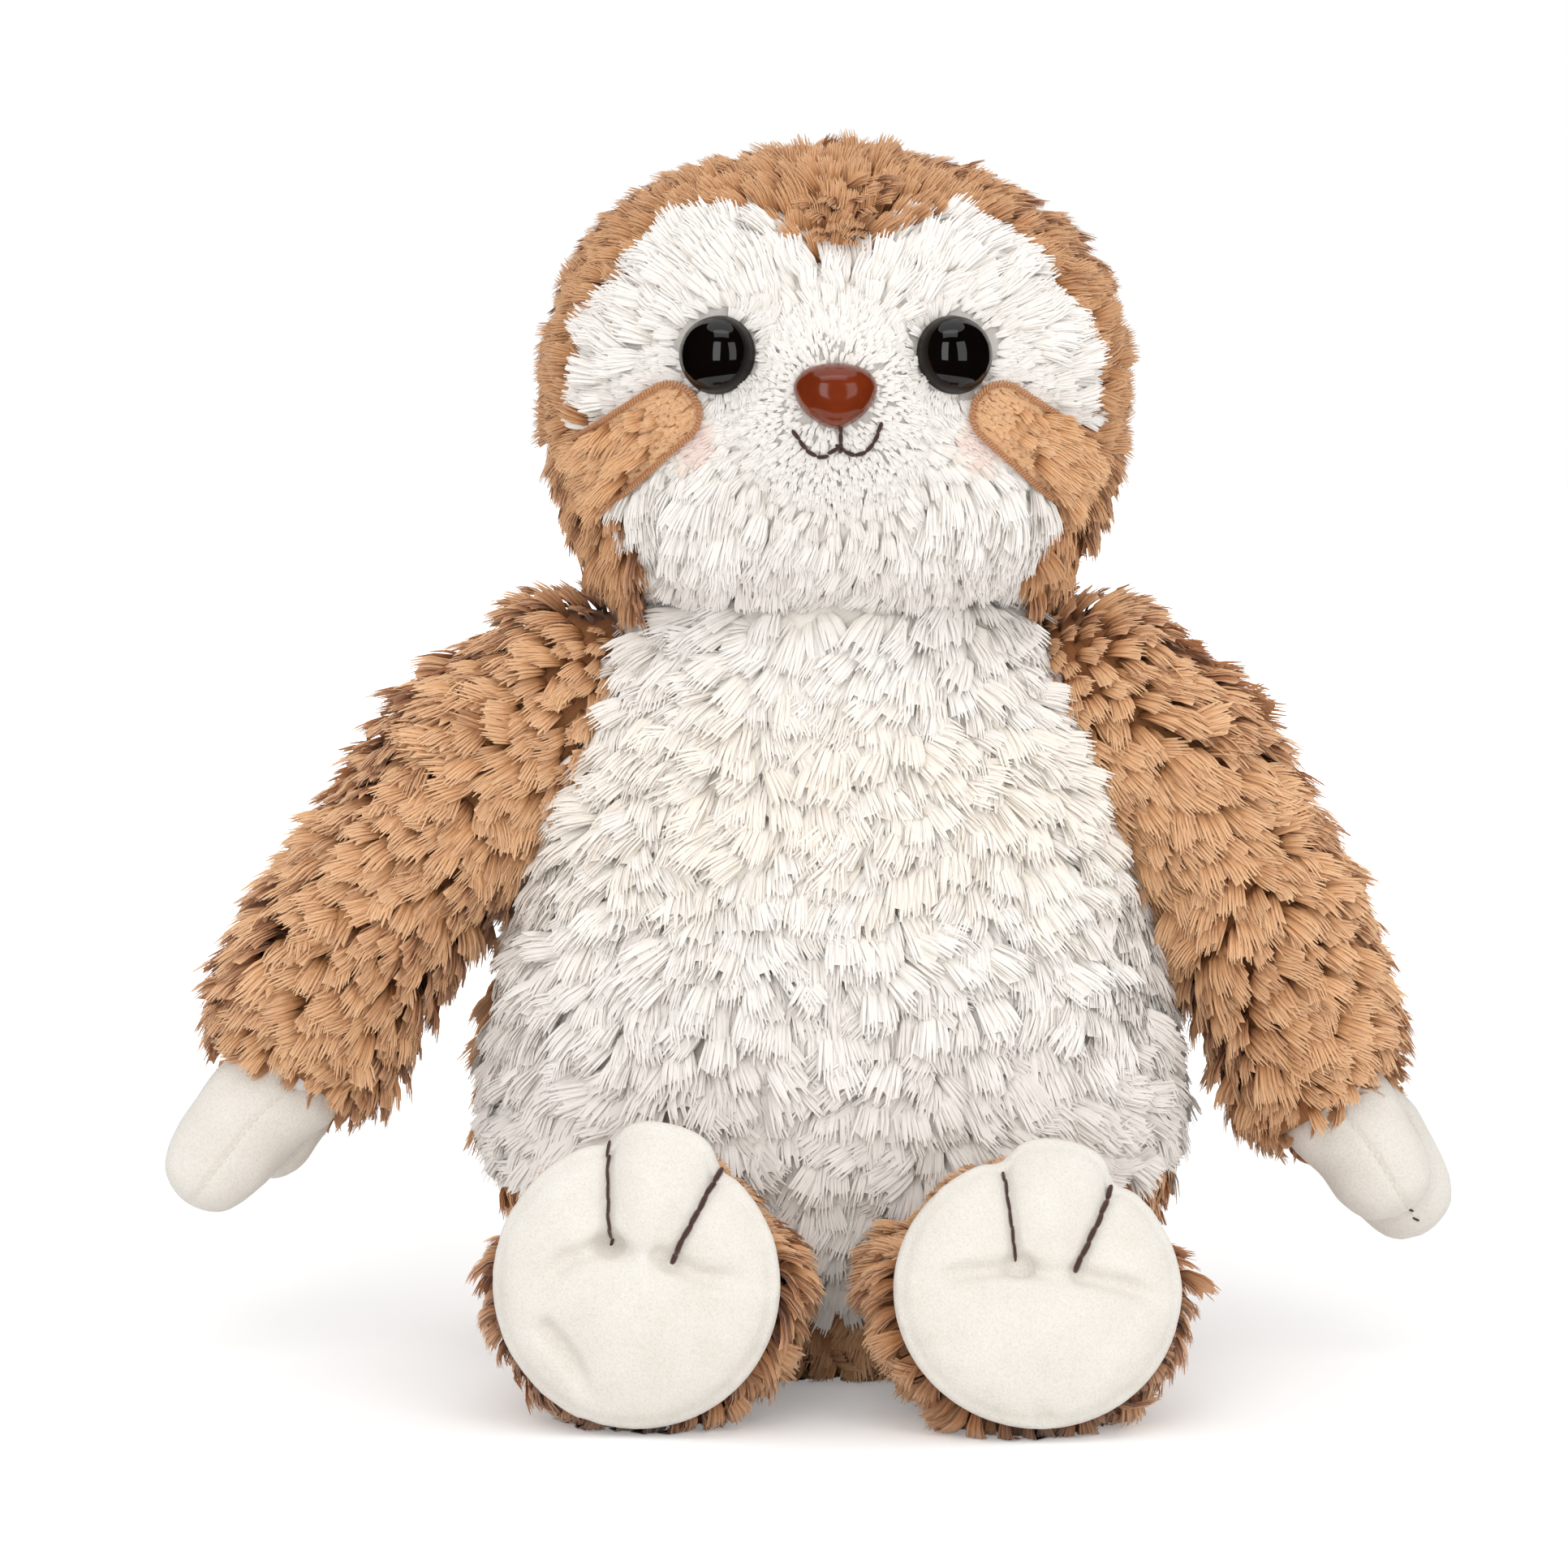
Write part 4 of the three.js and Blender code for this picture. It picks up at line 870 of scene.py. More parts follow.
buildEyes()
buildNose()
for name in ("left_eye_washer", "right_eye_washer", "nose_washer"):
    frame["nodes"][name].data.materials.clear()
    frame["nodes"][name].data.materials.append(clearNylon)
print("eyes and nose made")


# Stitches: short rounded threads along a path or across it
def stitchNodes():
    tree, given = newTree(
        "sewStitches", "Stitches", Path="Geometry", Stitch="Object", Pitch="Float", Length="Float",
        Thickness="Float", Turn="Float", Seed="Int", Finish="Material")
    line = addNode(tree, "GeometryNodeMeshToCurve", {"Mesh": given["Path"]})
    spots = addNode(tree, "GeometryNodeResampleCurve", {"Curve": line, "Length": given["Pitch"]},
                    mode="LENGTH")
    up = addNode(tree, "GeometryNodeInputNamedAttribute", {"Name": "up"}, data_type="FLOAT_VECTOR")
    tangent = addNode(tree, "GeometryNodeInputTangent")
    lie = addNode(tree, "FunctionNodeAxesToRotation", {"Primary Axis": up, "Secondary Axis": tangent},
                  primary_axis="Z", secondary_axis="X")
    wobble = addNode(tree, "FunctionNodeRandomValue", {"Min": -0.09, "Max": 0.09, "Seed": given["Seed"]},
                     data_type="FLOAT")
    yaw = addNode(tree, "ShaderNodeMath", {0: given["Turn"], 1: wobble})
    yaw = addNode(tree, "ShaderNodeCombineXYZ", {"Z": yaw})
    turn = addNode(tree, "FunctionNodeEulerToRotation", {"Euler": yaw})
    lie = addNode(tree, "FunctionNodeRotateRotation", {"Rotation": lie, "Rotate By": turn},
                  rotation_space="LOCAL")
    size = addNode(tree, "ShaderNodeCombineXYZ", {
        "X": given["Length"], "Y": given["Thickness"], "Z": given["Thickness"]})
    stitch = addNode(tree, "GeometryNodeObjectInfo", {"Object": given["Stitch"]})
    rows = addNode(tree, "GeometryNodeInstanceOnPoints", {
        "Points": spots, "Instance": stitch.outputs["Geometry"], "Rotation": lie, "Scale": size})
    rows = addNode(tree, "GeometryNodeRealizeInstances", {"Geometry": rows})
    rows = addNode(tree, "GeometryNodeSetShadeSmooth", {"Geometry": rows})
    rows = addNode(tree, "GeometryNodeSetMaterial", {"Geometry": rows, "Material": given["Finish"]})
    addNode(tree, "NodeGroupOutput", {"Stitches": rows})
    return tree


stitchTree = stitchNodes()
# one stitch, a unit long and a unit thick, that dips at both ends: radius, place along it and height
stitchShape = [(0.10, -0.5, -0.25), (0.38, -0.42, -0.05), (0.5, -0.2, 0.1), (0.5, 0.2, 0.1),
               (0.38, 0.42, -0.05), (0.10, 0.5, -0.25)]
stitchAngles = np.linspace(0, 2 * np.pi, 6, endpoint=False)
stitchGrid = np.array([[(x, r * math.cos(a), z + r * math.sin(a)) for a in stitchAngles]
                       for r, x, z in stitchShape])
stitchPoints, stitchFaces = closedForm(stitchGrid)
stitchPiece = newPiece("stitch", stitchPoints / mm, stitchFaces)


def sew(name, paths, sewing, material):
    # each path is points with the way the cloth faces there
    points = np.vstack([p for p, _ in paths])
    edges, first = [], 0
    for p, _ in paths:
        edges += [(first + i, first + i + 1) for i in range(len(p) - 1)]
        first += len(p)
    mesh = bpy.data.meshes.new(name)
    mesh.from_pydata((points * mm).tolist(), edges, [])
    mesh.attributes.new("up", "FLOAT_VECTOR", "POINT").data.foreach_set(
        "vector", np.vstack([u for _, u in paths]).astype(np.float32).ravel())
    obj = bpy.data.objects.new(name, mesh)
    scene.collection.objects.link(obj)
    return bakedMesh(obj, stitchTree, {
        "Stitch": stitchPiece, "Pitch": sewing["pitch"] * mm, "Length": sewing["length"] * mm,
        "Thickness": sewing["thickness"] * mm, "Turn": math.radians(sewing["turn"]), "Seed": sewing["seed"],
        "Finish": material}, ("up",))


def facePath(spots, lift):
    frames = [faceFrame(x, z) for x, z in spots]
    points = np.array([f @ Vector((0, 0, lift)) for f in frames])
    return points, np.array([f.col[2][:3] for f in frames])


mouth = {
    "pitch": 2.1, "length": 2.5, "thickness": 0.95, "turn": 0, "seed": 21, "lift": 0.6,
    "lines": [
        [(0.9, 33.2), (0.9, 31.0), (0.9, 29.2)],
        [(0.9, 29.2), (3.0, 28.0), (5.4, 28.2), (7.4, 30.2), (8.6, 33.2)],
        [(-0.6, 28.6), (-2.6, 27.4), (-5.0, 28.2), (-7.0, 30.4), (-7.9, 31.8)],
    ],
}
# Patches: tan drops with a satin border, short pile at the eye and long pile that sweeps out over the cheek
satin = {"pitch": 0.72, "length": 1.5, "thickness": 0.62, "turn": 64, "seed": 23, "lift": 0.8}
patchNap = {
    "tuft": "nap", "length": 2.2, "spacing": 0.65, "breadth": 1.1, "scatter": (8, 8, 14), "swirl": 20,
    "swirlSize": 9, "seed": 13,
}
patchFur = {
    "tuft": "tan", "length": 9, "spacing": 1.9, "breadth": 0.9, "scatter": (14, 12, 18), "swirl": 25,
    "swirlSize": 12, "seed": 12,
}


def buildMouth():
    paths = [facePath(flatCurve(line, 24), mouth["lift"]) for line in mouth["lines"]]
    finishPiece(sew("mouth_thread", paths, mouth, brownFloss), "head", "brown_thread", "mouth_stitches")


def patchGrid(side):
    radius = patch["radius"]
    # its edges go down to the cloth of the head
    across = np.concatenate([[-1.03], np.linspace(-1, 1, 17), [1.03]])
    rows = []
    for along in np.linspace(-0.2, patch["length"] - 3, 27):
        end = math.sqrt(max(radius**2 - max(radius - along, 0) ** 2, 0.01))
        half = end + max(0, along - radius) * radius * (patch["flare"] - 1) / (patch["length"] - radius)
        spots = [patchSpot(side, along, side * half * a) for a in across]
        sunk = np.where((np.abs(across) > 1) | (along < 0), patch["edge"], patch["sink"])
        rows.append([faceFrame(x, z) @ Vector((0, 0, -deep)) for (x, z), deep in zip(spots, sunk)])
    return np.array(rows)


def buildPatch(side, name):
    grid = patchGrid(side)
    rows, columns, _ = grid.shape
    r, c = np.meshgrid(np.arange(rows - 1), np.arange(columns - 1), indexing="ij")
    a = r * columns + c
    faces = np.stack([a, a + columns, a + columns + 1, a + 1], axis=-1).reshape(-1, 4)
    points = grid.reshape(-1, 3)
    if pointNormals(points, faces)[:, 1].mean() > 0:
        faces = faces[:, ::-1]
    along = np.repeat(np.linspace(0, 1, rows), columns)
    height = side * np.tile(np.linspace(-1, 1, columns), rows)
    slope = math.radians(patch["slope"])
    comb = np.array([side * math.cos(slope), 0.35, -math.sin(slope)])
    # no pile on the edges
    inner = np.ones((rows, columns), bool)
    inner[0] = False
    inner[:, [0, 1, -2, -1]] = False
    inner = inner.ravel()
    obj = furPiece(f"{name}_patch_pile", points, faces, comb, patchNap, tanFur, 1, patch["tone"], inner)
    finishPiece(obj, "head", "tan_felt", f"{name}_eye_patch")
    under = points - pointNormals(points, faces) * patch["furSink"]
    swept = inner & (along > 0.3) & ((height > -0.35) | (along > 0.75))
    obj = furPiece(f"{name}_patch_fur", under, facesWhere(faces, along > 0.2), comb, patchFur, tanFur,
                   0.55 + 0.45 * smoothStep(0.3, 0.6, along), patch["tone"], swept)
    finishPiece(obj, "head", "tan_felt")
    border = facePath(patchPath(side, 22, patch["border"]), satin["lift"])
    finishPiece(sew(f"{name}_patch_border", [border], satin, tanFloss), "head", "tan_felt")


buildMouth()
for side, name in sides:
    buildPatch(side, name)
print("mouth and patches made")

# Arms: tan sleeves that lie out and down along the limb
armFur = {
    "tuft": "tan", "length": 11.5, "spacing": 3.0, "breadth": 1.0, "scatter": (20, 16, 32), "swirl": 55,
    "swirlSize": 20, "seed": 14,
}


def buildArm(side, name):
    place, end = armPlace(side), -arm["length"]
    grid = limbGrid(arm, arm["rows"], arm["columns"], arm["cloth"], side)
    # the cuff turns in round the mitt
    centre = grid[0].mean(0)
    hem = [centre + (grid[0] - centre) * (1 - inset / arm["hemRadius"]) + [0, 0, lift]
           for inset, lift in arm["hem"]]
    grid = np.concatenate([hem, grid])
    local = grid.reshape(-1, 3)
    faces = gridFaces(*grid.shape[:2])
    # fuller over the shoulder and on the outside of the right cuff
    reach = local[:, 2].copy()
    local[:, 2] += arm["cuffRise"] * smoothStep(8, -8, local[:, 1]) * smoothStep(end + 34, end, reach)
    outside = smoothStep(2, 16, local[:, 0] * side)
    fuller = outside * smoothStep(-45, -20, local[:, 2]) * smoothStep(16, 2, local[:, 2])
    if side < 0:
        fuller = fuller + outside * smoothStep(-60, -85, local[:, 2])
    swell = arm["lumpHeight"] * lumps(local, arm["lumpSize"], side + 4) + arm["fuller"] * fuller
    local = local + pointNormals(local, faces) * swell[:, None]
    points = moved(place, local)
    # the pile lies down the arm, outwards on its outer side
    down = np.array(place.to_3x3() @ Vector((0, 0, -1)))
    outer = smoothStep(-10, 18, local[:, 0] * side)[:, None]
    comb = down + outer * np.array([0.75 * side, 0, 0.1]) + (1 - outer) * np.array([0, 0, -0.7])
    planted = ~insideTorso(points, torso["cloth"] - 1) & (reach > end + 0.5)
    cuff = smoothStep(end + 16, end + 2, reach)
    long = 1 - arm["shoulderTrim"] * smoothStep(-20, 4, local[:, 2]) - arm["cuffTrim"] * cuff
    long = long + arm["fullerPile"] * fuller
    fur = dict(armFur, seed=armFur["seed"] + side)
    obj = furPiece(f"{name}_arm_fur", points, faces, comb, fur, tanFur, long, arm["tone"], planted)
    finishPiece(obj, f"{name}_arm", "tan_fur", f"{name}_arm_sleeve")
    base, under = closedForm(moved(place, limbGrid(arm, 16, 28, arm["fill"], side, 6)))
    fillPiece(f"{name}_arm_filling", base, under, f"{name}_arm", f"{name}_arm_stuffing")


for side, name in sides:
    buildArm(side, name)
print("arms made")

# Legs: short tan sleeves that end at the soles and rest on the floor
legFur = {
    "tuft": "tan", "length": 10, "spacing": 2.7, "breadth": 1.0, "scatter": (22, 18, 34), "swirl": 60,
    "swirlSize": 16, "seed": 17,
}


def legPlace(side):
    turn = Matrix.Rotation(math.radians(side * leg["splay"]), 4, "Z") @ Matrix.Rotation(
        math.radians(-leg["rise"]), 4, "X")
    return Matrix.Translation((side * leg["spread"], -leg["forward"], leg["height"])) @ turn


def legPoints(side, rows, columns, offset, ballRows=10):
    # along -Y, with the end leaning back as the sole does
    grid = limbGrid(leg, rows, columns, offset, side, ballRows)
    x, y, z = grid[..., 0], grid[..., 1], grid[..., 2]
    grid = np.stack([x, z, -y], axis=-1)
    share = np.clip(-grid[..., 1] / leg["length"], 0, 1)
    grid[..., 1] += grid[..., 2] * math.tan(math.radians(leg["tilt"][side])) * share**2
    return grid


def settled(points, side):
    # the left foot is a little flatter than the right
    flat = leg["flat"] * (side > 0) * smoothStep(-50, -80, points[:, 1])
    return points * np.stack([np.ones_like(flat), np.ones_like(flat), 1 - flat], axis=1)


def buildLeg(side, name):
    place, low = legPlace(side), leg["low"][side]
    grid = legPoints(side, leg["rows"], leg["columns"], leg["cloth"])
    local = grid.reshape(-1, 3)
    faces = gridFaces(*grid.shape[:2])
    points = moved(place, local)
    points[:, 2] = np.maximum(points[:, 2], leg["lowest"])
    x, y, z = points.T
    # behind the top of the sole the pile is low, so that none stands above it
    top = smoothStep(2, 12, local[:, 2]) * smoothStep(-6, 6, -local[:, 1])
    points = settled(points - pointNormals(points, faces) * low * top[:, None], side)
    spread = np.clip(local[:, 0] / 20, -1, 1)
    comb = np.stack([0.8 * spread, np.full_like(x, 0.5), np.full_like(x, -1.0)], axis=1)
    planted = (z > 2 * leg["lowest"]) & (y < leg["pileFrom"])
    long = 1.1 - (0.37 + 0.04 * low) * top
    fur = dict(legFur, seed=legFur["seed"] + side)
    obj = furPiece(f"{name}_leg_fur", points, faces, comb, fur, tanFur, long, 0, planted)
    finishPiece(obj, f"{name}_leg", "tan_fur", f"{name}_leg_sleeve")
    local, under = closedForm(legPoints(side, 12, 28, leg["fill"], 6))
    top = smoothStep(-2, 10, local[:, 2]) * smoothStep(-10, 2, -local[:, 1])
    local[:, [0, 2]] *= 1 - (low + 1) * top[:, None] / 25
    base = settled(moved(place, local), side)
    base[:, 2] = np.maximum(base[:, 2], leg["fillLowest"])
    fillPiece(f"{name}_leg_filling", base, under, f"{name}_leg", f"{name}_leg_stuffing")


for side, name in sides:
    buildLeg(side, name)
for box in tuftBoxes.values():
    for obj in list(box.objects):
        bpy.data.objects.remove(obj)
    bpy.data.collections.remove(box)
print("legs made")


# Padded velour: the form is blown up as cloth with its seams held, then the seams are drawn in
def meshPoints(mesh):
    flat = np.empty(len(mesh.vertices) * 3, np.float32)
    mesh.vertices.foreach_get("co", flat)
    return flat.reshape(-1, 3).astype(float) / mm


def meshNormals(mesh):
    flat = np.empty(len(mesh.vertices) * 3, np.float32)
    mesh.vertex_normals.foreach_get("vector", flat)
    return flat.reshape(-1, 3).astype(float)


def setPoints(mesh, points):
    mesh.vertices.foreach_set("co", (points * mm).astype(np.float32).ravel())
    mesh.update()


def applied(obj, kind, **settings):
    modifier = obj.modifiers.new(kind.lower(), kind)
    for key, value in settings.items():
        setattr(modifier, key, value)
    mesh = keepResult(obj, modifier)
    mesh.polygons.foreach_set("use_smooth", [True] * len(mesh.polygons))


# the cloth is blown up at eight times its size, where cloth settings are the usual ones
blow = {"grown": 8, "frames": 20, "quality": 6, "mass": 0.3}


def plump(obj, held, cushion):
    rest = meshPoints(obj.data)
    setPoints(obj.data, rest * blow["grown"])
    group = obj.vertex_groups.new(name="held")
    for i in np.nonzero(held > 0)[0]:
        group.add([int(i)], float(held[i]), "REPLACE")
    cloth = obj.modifiers.new("cloth", "CLOTH")
    cloth.settings.quality = blow["quality"]
    cloth.settings.mass = blow["mass"]
    cloth.settings.use_pressure = True
    cloth.settings.uniform_pressure_force = cushion["pressure"]
    cloth.settings.vertex_group_mass = "held"
    cloth.settings.effector_weights.gravity = 0
    cloth.point_cache.frame_end = blow["frames"]
    for k in range(blow["frames"]):
        scene.frame_set(k + 1)
    blown = bpy.data.meshes.new_from_object(obj.evaluated_get(bpy.context.evaluated_depsgraph_get()))
    move = meshPoints(blown) / blow["grown"] - rest
    far = np.linalg.norm(move, axis=1, keepdims=True)
    obj.modifiers.remove(cloth)
    obj.vertex_groups.clear()
    bpy.data.meshes.remove(blown)
    setPoints(obj.data, rest + move * np.minimum(1, cushion["most"] / np.maximum(far, 1e-6)))
    scene.frame_set(1)
    print(obj.name, "swells up to", round(float(np.minimum(far, cushion["most"]).max()), 1), "mm")


def fromLine(points, line):
    # distance of flat points from a bent line
    best = np.full(len(points), 1e9)
    for a, b in zip(line[:-1], line[1:]):
        a, b = np.array(a, float), np.array(b, float)
        t = np.clip((points - a) @ (b - a) / ((b - a) @ (b - a)), 0, 1)
        best = np.minimum(best, np.linalg.norm(points - a - t[:, None] * (b - a), axis=1))
    return best


def outwardFaces(points, faces):
    # turns a closed form's faces round if they point inwards
    volume = 0
    for f in faces:
        for k in range(1, len(f) - 1):
            volume += np.dot(points[f[0]], np.cross(points[f[k]], points[f[k + 1]]))
    return faces if volume > 0 else [f[::-1] for f in faces]


def threadPath(tree, place, spots, lift):
    # points on the front of a cushion, with the way it faces there
    points, ups = [], []
    for x, z in spots:
        spot, normal, _, _ = tree.ray_cast(Vector((x, -60, z)), Vector((0, 1, 0)))
        if spot:
            points.append(spot + normal * lift)
            ups.append(normal)
    return moved(place, np.array(points)), moved(place.to_3x3().to_4x4(), np.array(ups))


# Soles: round cushions with three toes, sewn down along two lines
sole = {
    "radius": 29, "columns": 120, "thickness": 5, "crown": 4, "toeBulge": 3.6, "notch": 1.3, "toeTurn": 12,
    "toeSpread": 24, "footTurn": 12.5, "footSpread": 46.5, "lineTop": 0.97, "lineFoot": 8.6, "channel": 2.2,
    "channelWidth": 3.4, "pressure": 40, "most": 3, "sewnDepth": 1.1, "sewnWidth": 1.0, "creaseDepth": 2.3,
    "creaseWidth": 1.9, "lumpHeight": 0.25, "lumpSize": 7, "lowest": 0.4,
    # the seam inside the edge and the ridge round it: share of the radius, width and depth
    "seam": [(0.94, 0.03, 0.22), (0.98, 0.02, -0.2)],
    # creases in the cloth, from the feet of the toe lines
    "creases": {
        -1: [[(-5, 8.5), (-13, 5), (-19, -1)], [(-5, 8.5), (0, 6.5), (6, 6)], [(6, 6), (14, 2.5), (25, 1)],
             [(-17, -9), (-12, -15), (-8, -24)]],
        1: [[(-4, 5), (-15, 4), (-24, 2)], [(-4, 5), (2, 3), (8, 3)], [(8, 3), (18, 0), (26, -4)],
            [(0, -31), (0, -21)]],
    },
}
# the toe threads start at a share of their line, and the toy's left one of each sole is thicker
toeThread = {
    "pitch": 3.0, "length": 4.1, "turn": 0, "seed": 43, "lift": 0.25, "start": {1: 0.14, -1: 0.05},
    "thick": {"right": 0.7, "left": 1.15},
}


def toeLine(sign):
    top = math.radians(sole["toeTurn"] + sign * sole["toeSpread"])
    foot = math.radians(sole["footTurn"] + sign * sole["footSpread"])
    reach = sole["radius"] * sole["lineTop"]
    return [(reach * math.sin(top), reach * math.cos(top)),
            (sole["lineFoot"] * math.sin(foot), sole["lineFoot"] * math.cos(foot))]


toeLines = {"right": toeLine(-1), "left": toeLine(1)}


def solePlace(side):
    tilt = math.radians(leg["tilt"][side])
    shift = Matrix.Translation((0, -(leg["length"] + 0.35 / math.cos(tilt)), 0))
    return legPlace(side) @ shift @ Matrix.Rotation(-tilt, 4, "X")


def buildSole(side, name):
    columns, creases = sole["columns"], sole["creases"][side]
    angle = np.linspace(-180, 180, columns, endpoint=False)
    toe = np.exp(-(((angle - sole["toeTurn"]) / (sole["toeSpread"] * 0.85)) ** 4))
    notch = sum(np.exp(-(((angle - sole["toeTurn"] - sign * sole["toeSpread"]) / 5) ** 2))
                for sign in (1, -1))
    radius = sole["radius"] + sole["toeBulge"] * toe - sole["notch"] * notch
    turn = np.radians(angle)
    flat = np.stack([radius * np.sin(turn), np.zeros(columns), radius * np.cos(turn)], axis=-1)
    shares = np.concatenate([np.linspace(0.03, 0.9, 30), [0.94, 0.97, 1.0]])
    rows = []
    for share in shares:
        ring = flat * share
        height = sole["thickness"] + sole["crown"] * (1 - share**2) - 3 * share**8
        for line in toeLines.values():
            off = fromLine(ring[:, [0, 2]], line)
            height = height - sole["channel"] * np.exp(-((off / sole["channelWidth"]) ** 2))
        ring[:, 1] = -height
        rows.append(ring)
    rim = rows[-1][:, 1]
    for share, depth in ((0.995, 0.5), (0.97, 0.12), (0.9, 0), (0.5, 0), (0.1, 0)):
        ring = flat * share
        ring[:, 1] = rim * depth
        rows.append(ring)
    points, faces = closedForm(np.array(rows))
    obj = newPiece(f"{name}_sole_cushion", points, outwardFaces(points, faces), ivoryVelour)
    # the back, the toe lines and the creases are held
    across, front = points[:, [0, 2]], points[:, 1] < -1
    sewn = np.min([fromLine(across, line) for line in toeLines.values()], axis=0)
    folds = np.min([fromLine(across, line) for line in creases], axis=0)
    held = np.where((sewn < 1.0) & front, 1.0, 0.0)
    held[len(shares) * columns:] = 1
    held = np.maximum(held, 0.85 * (folds < 0.9) * front)
    plump(obj, held, sole)
    applied(obj, "SUBSURF", levels=1, render_levels=1)
    points, normals = meshPoints(obj.data), meshNormals(obj.data)
    across, front = points[:, [0, 2]], points[:, 1] < -2
    depth = np.zeros(len(points))
    for line in toeLines.values():
        depth += sole["sewnDepth"] * np.exp(-((fromLine(across, line) / sole["sewnWidth"]) ** 2))
    for line in creases:
        end = np.linalg.norm(across - np.array(line[-1]), axis=1)
        fold = np.exp(-((fromLine(across, line) / sole["creaseWidth"]) ** 2))
        depth += sole["creaseDepth"] * fold * smoothStep(0, 10, end)
    # the seam that joins the sole to the leg shows as a narrow ridge inside the edge
    share = np.linalg.norm(across, axis=1) / np.interp(
        np.degrees(np.arctan2(across[:, 0], across[:, 1])), angle, radius)
    for spot, width, deep in sole["seam"]:
        depth += deep * np.exp(-(((share - spot) / width) ** 2))
    depth -= sole["lumpHeight"] * lumps(points, sole["lumpSize"], 41 + side)
    points = points - normals * (depth * front)[:, None]
    place = solePlace(side)
    tree = BVHTree.FromPolygons(points.tolist(), [list(f.vertices) for f in obj.data.polygons])
    points = settled(moved(place, points), side)
    points[:, 2] = np.maximum(points[:, 2], sole["lowest"])
    setPoints(obj.data, points)
    finishPiece(obj, f"{name}_leg", "ivory_velour", f"{name}_sole")
    for node, line in toeLines.items():
        top, foot = np.array(line)
        spots = [top + (foot - top) * t for t in np.linspace(toeThread["start"][side], 0.95, 24)]
        path, ups = threadPath(tree, place, spots, toeThread["lift"])
        sewing = dict(toeThread, thickness=toeThread["thick"][node])
        obj = sew(f"{name}_toe_thread_{node}", [(settled(path, side), ups)], sewing, brownFloss)
        finishPiece(obj, f"{name}_leg", "brown_thread", f"{name}_toe_line_{node}")


for side, name in sides:
    buildSole(side, name)
print("soles made")

# Mitts: two velour lobes, one behind the other, with a seam down the front one
mitt = {
    "wrist": 102, "root": 13, "depth": 9, "lean": 10, "setout": 3.2, "pressure": 30, "most": 2.2,
    "voxel": 1.3, "foldDepth": 2.2, "foldWidth": 1.4, "seamDepth": 0.5, "seamWidth": 0.55, "lumpHeight": 0.3,
    "lumpSize": 8,
    # for each hand, the half width, length and shift to the toy's left of the front and back lobe
    "lobes": {1: {-1: (11.5, 28, 1.2), 1: (12, 36, 3)}, -1: {-1: (12, 35.5, -2), 1: (10.5, 23.5, 4)}},
}
mittSeam = {"pitch": 1.9, "length": 1.3, "thickness": 0.3, "turn": 0, "seed": 47, "lift": 0.05}
# the brown end of the thread that closes the tip of the left one
mittKnot = {"pitch": 1.6, "length": 1.9, "thickness": 0.55, "turn": 25, "seed": 49}


def mittForm(side):
    points, faces = np.zeros((0, 3)), []
    for way, (wide, long, shift) in mitt["lobes"][side].items():
        deep = mitt["depth"]
        stations = [(mitt["root"] * 0.8, deep * 0.8, -6), (mitt["root"], deep, 2), (wide, deep, 0.45 * long),
                    (0.97 * wide, deep, 0.65 * long), (0.72 * wide, 0.72 * deep, 0.9 * long),
                    (0.2 * wide, 0.2 * deep, long)]
        lobe, under = closedForm(bodyGrid(stations, 30, 40, -0.6))
        turn = Matrix.Rotation(math.radians(180 + way * mitt["lean"]), 4, "X")
        lobe = moved(turn, lobe) + [0, way * mitt["setout"], 0]
        lobe[:, 0] += shift * smoothStep(0, -14, lobe[:, 2])
        faces += [[i + len(points) for i in f] for f in outwardFaces(lobe, under)]
        points = np.vstack([points, lobe])
    return points, faces


def hollowness(mesh, points, normals):
    # how far each point lies below its neighbours
    edges = np.array([e.vertices[:] for e in mesh.edges])
    pull, count = np.zeros_like(points), np.zeros(len(points))
    for a, b in (edges.T, edges.T[::-1]):
        np.add.at(pull, a, points[b] - points[a])
        np.add.at(count, a, 1)
    return (pull / np.maximum(count, 1)[:, None] * normals).sum(1)


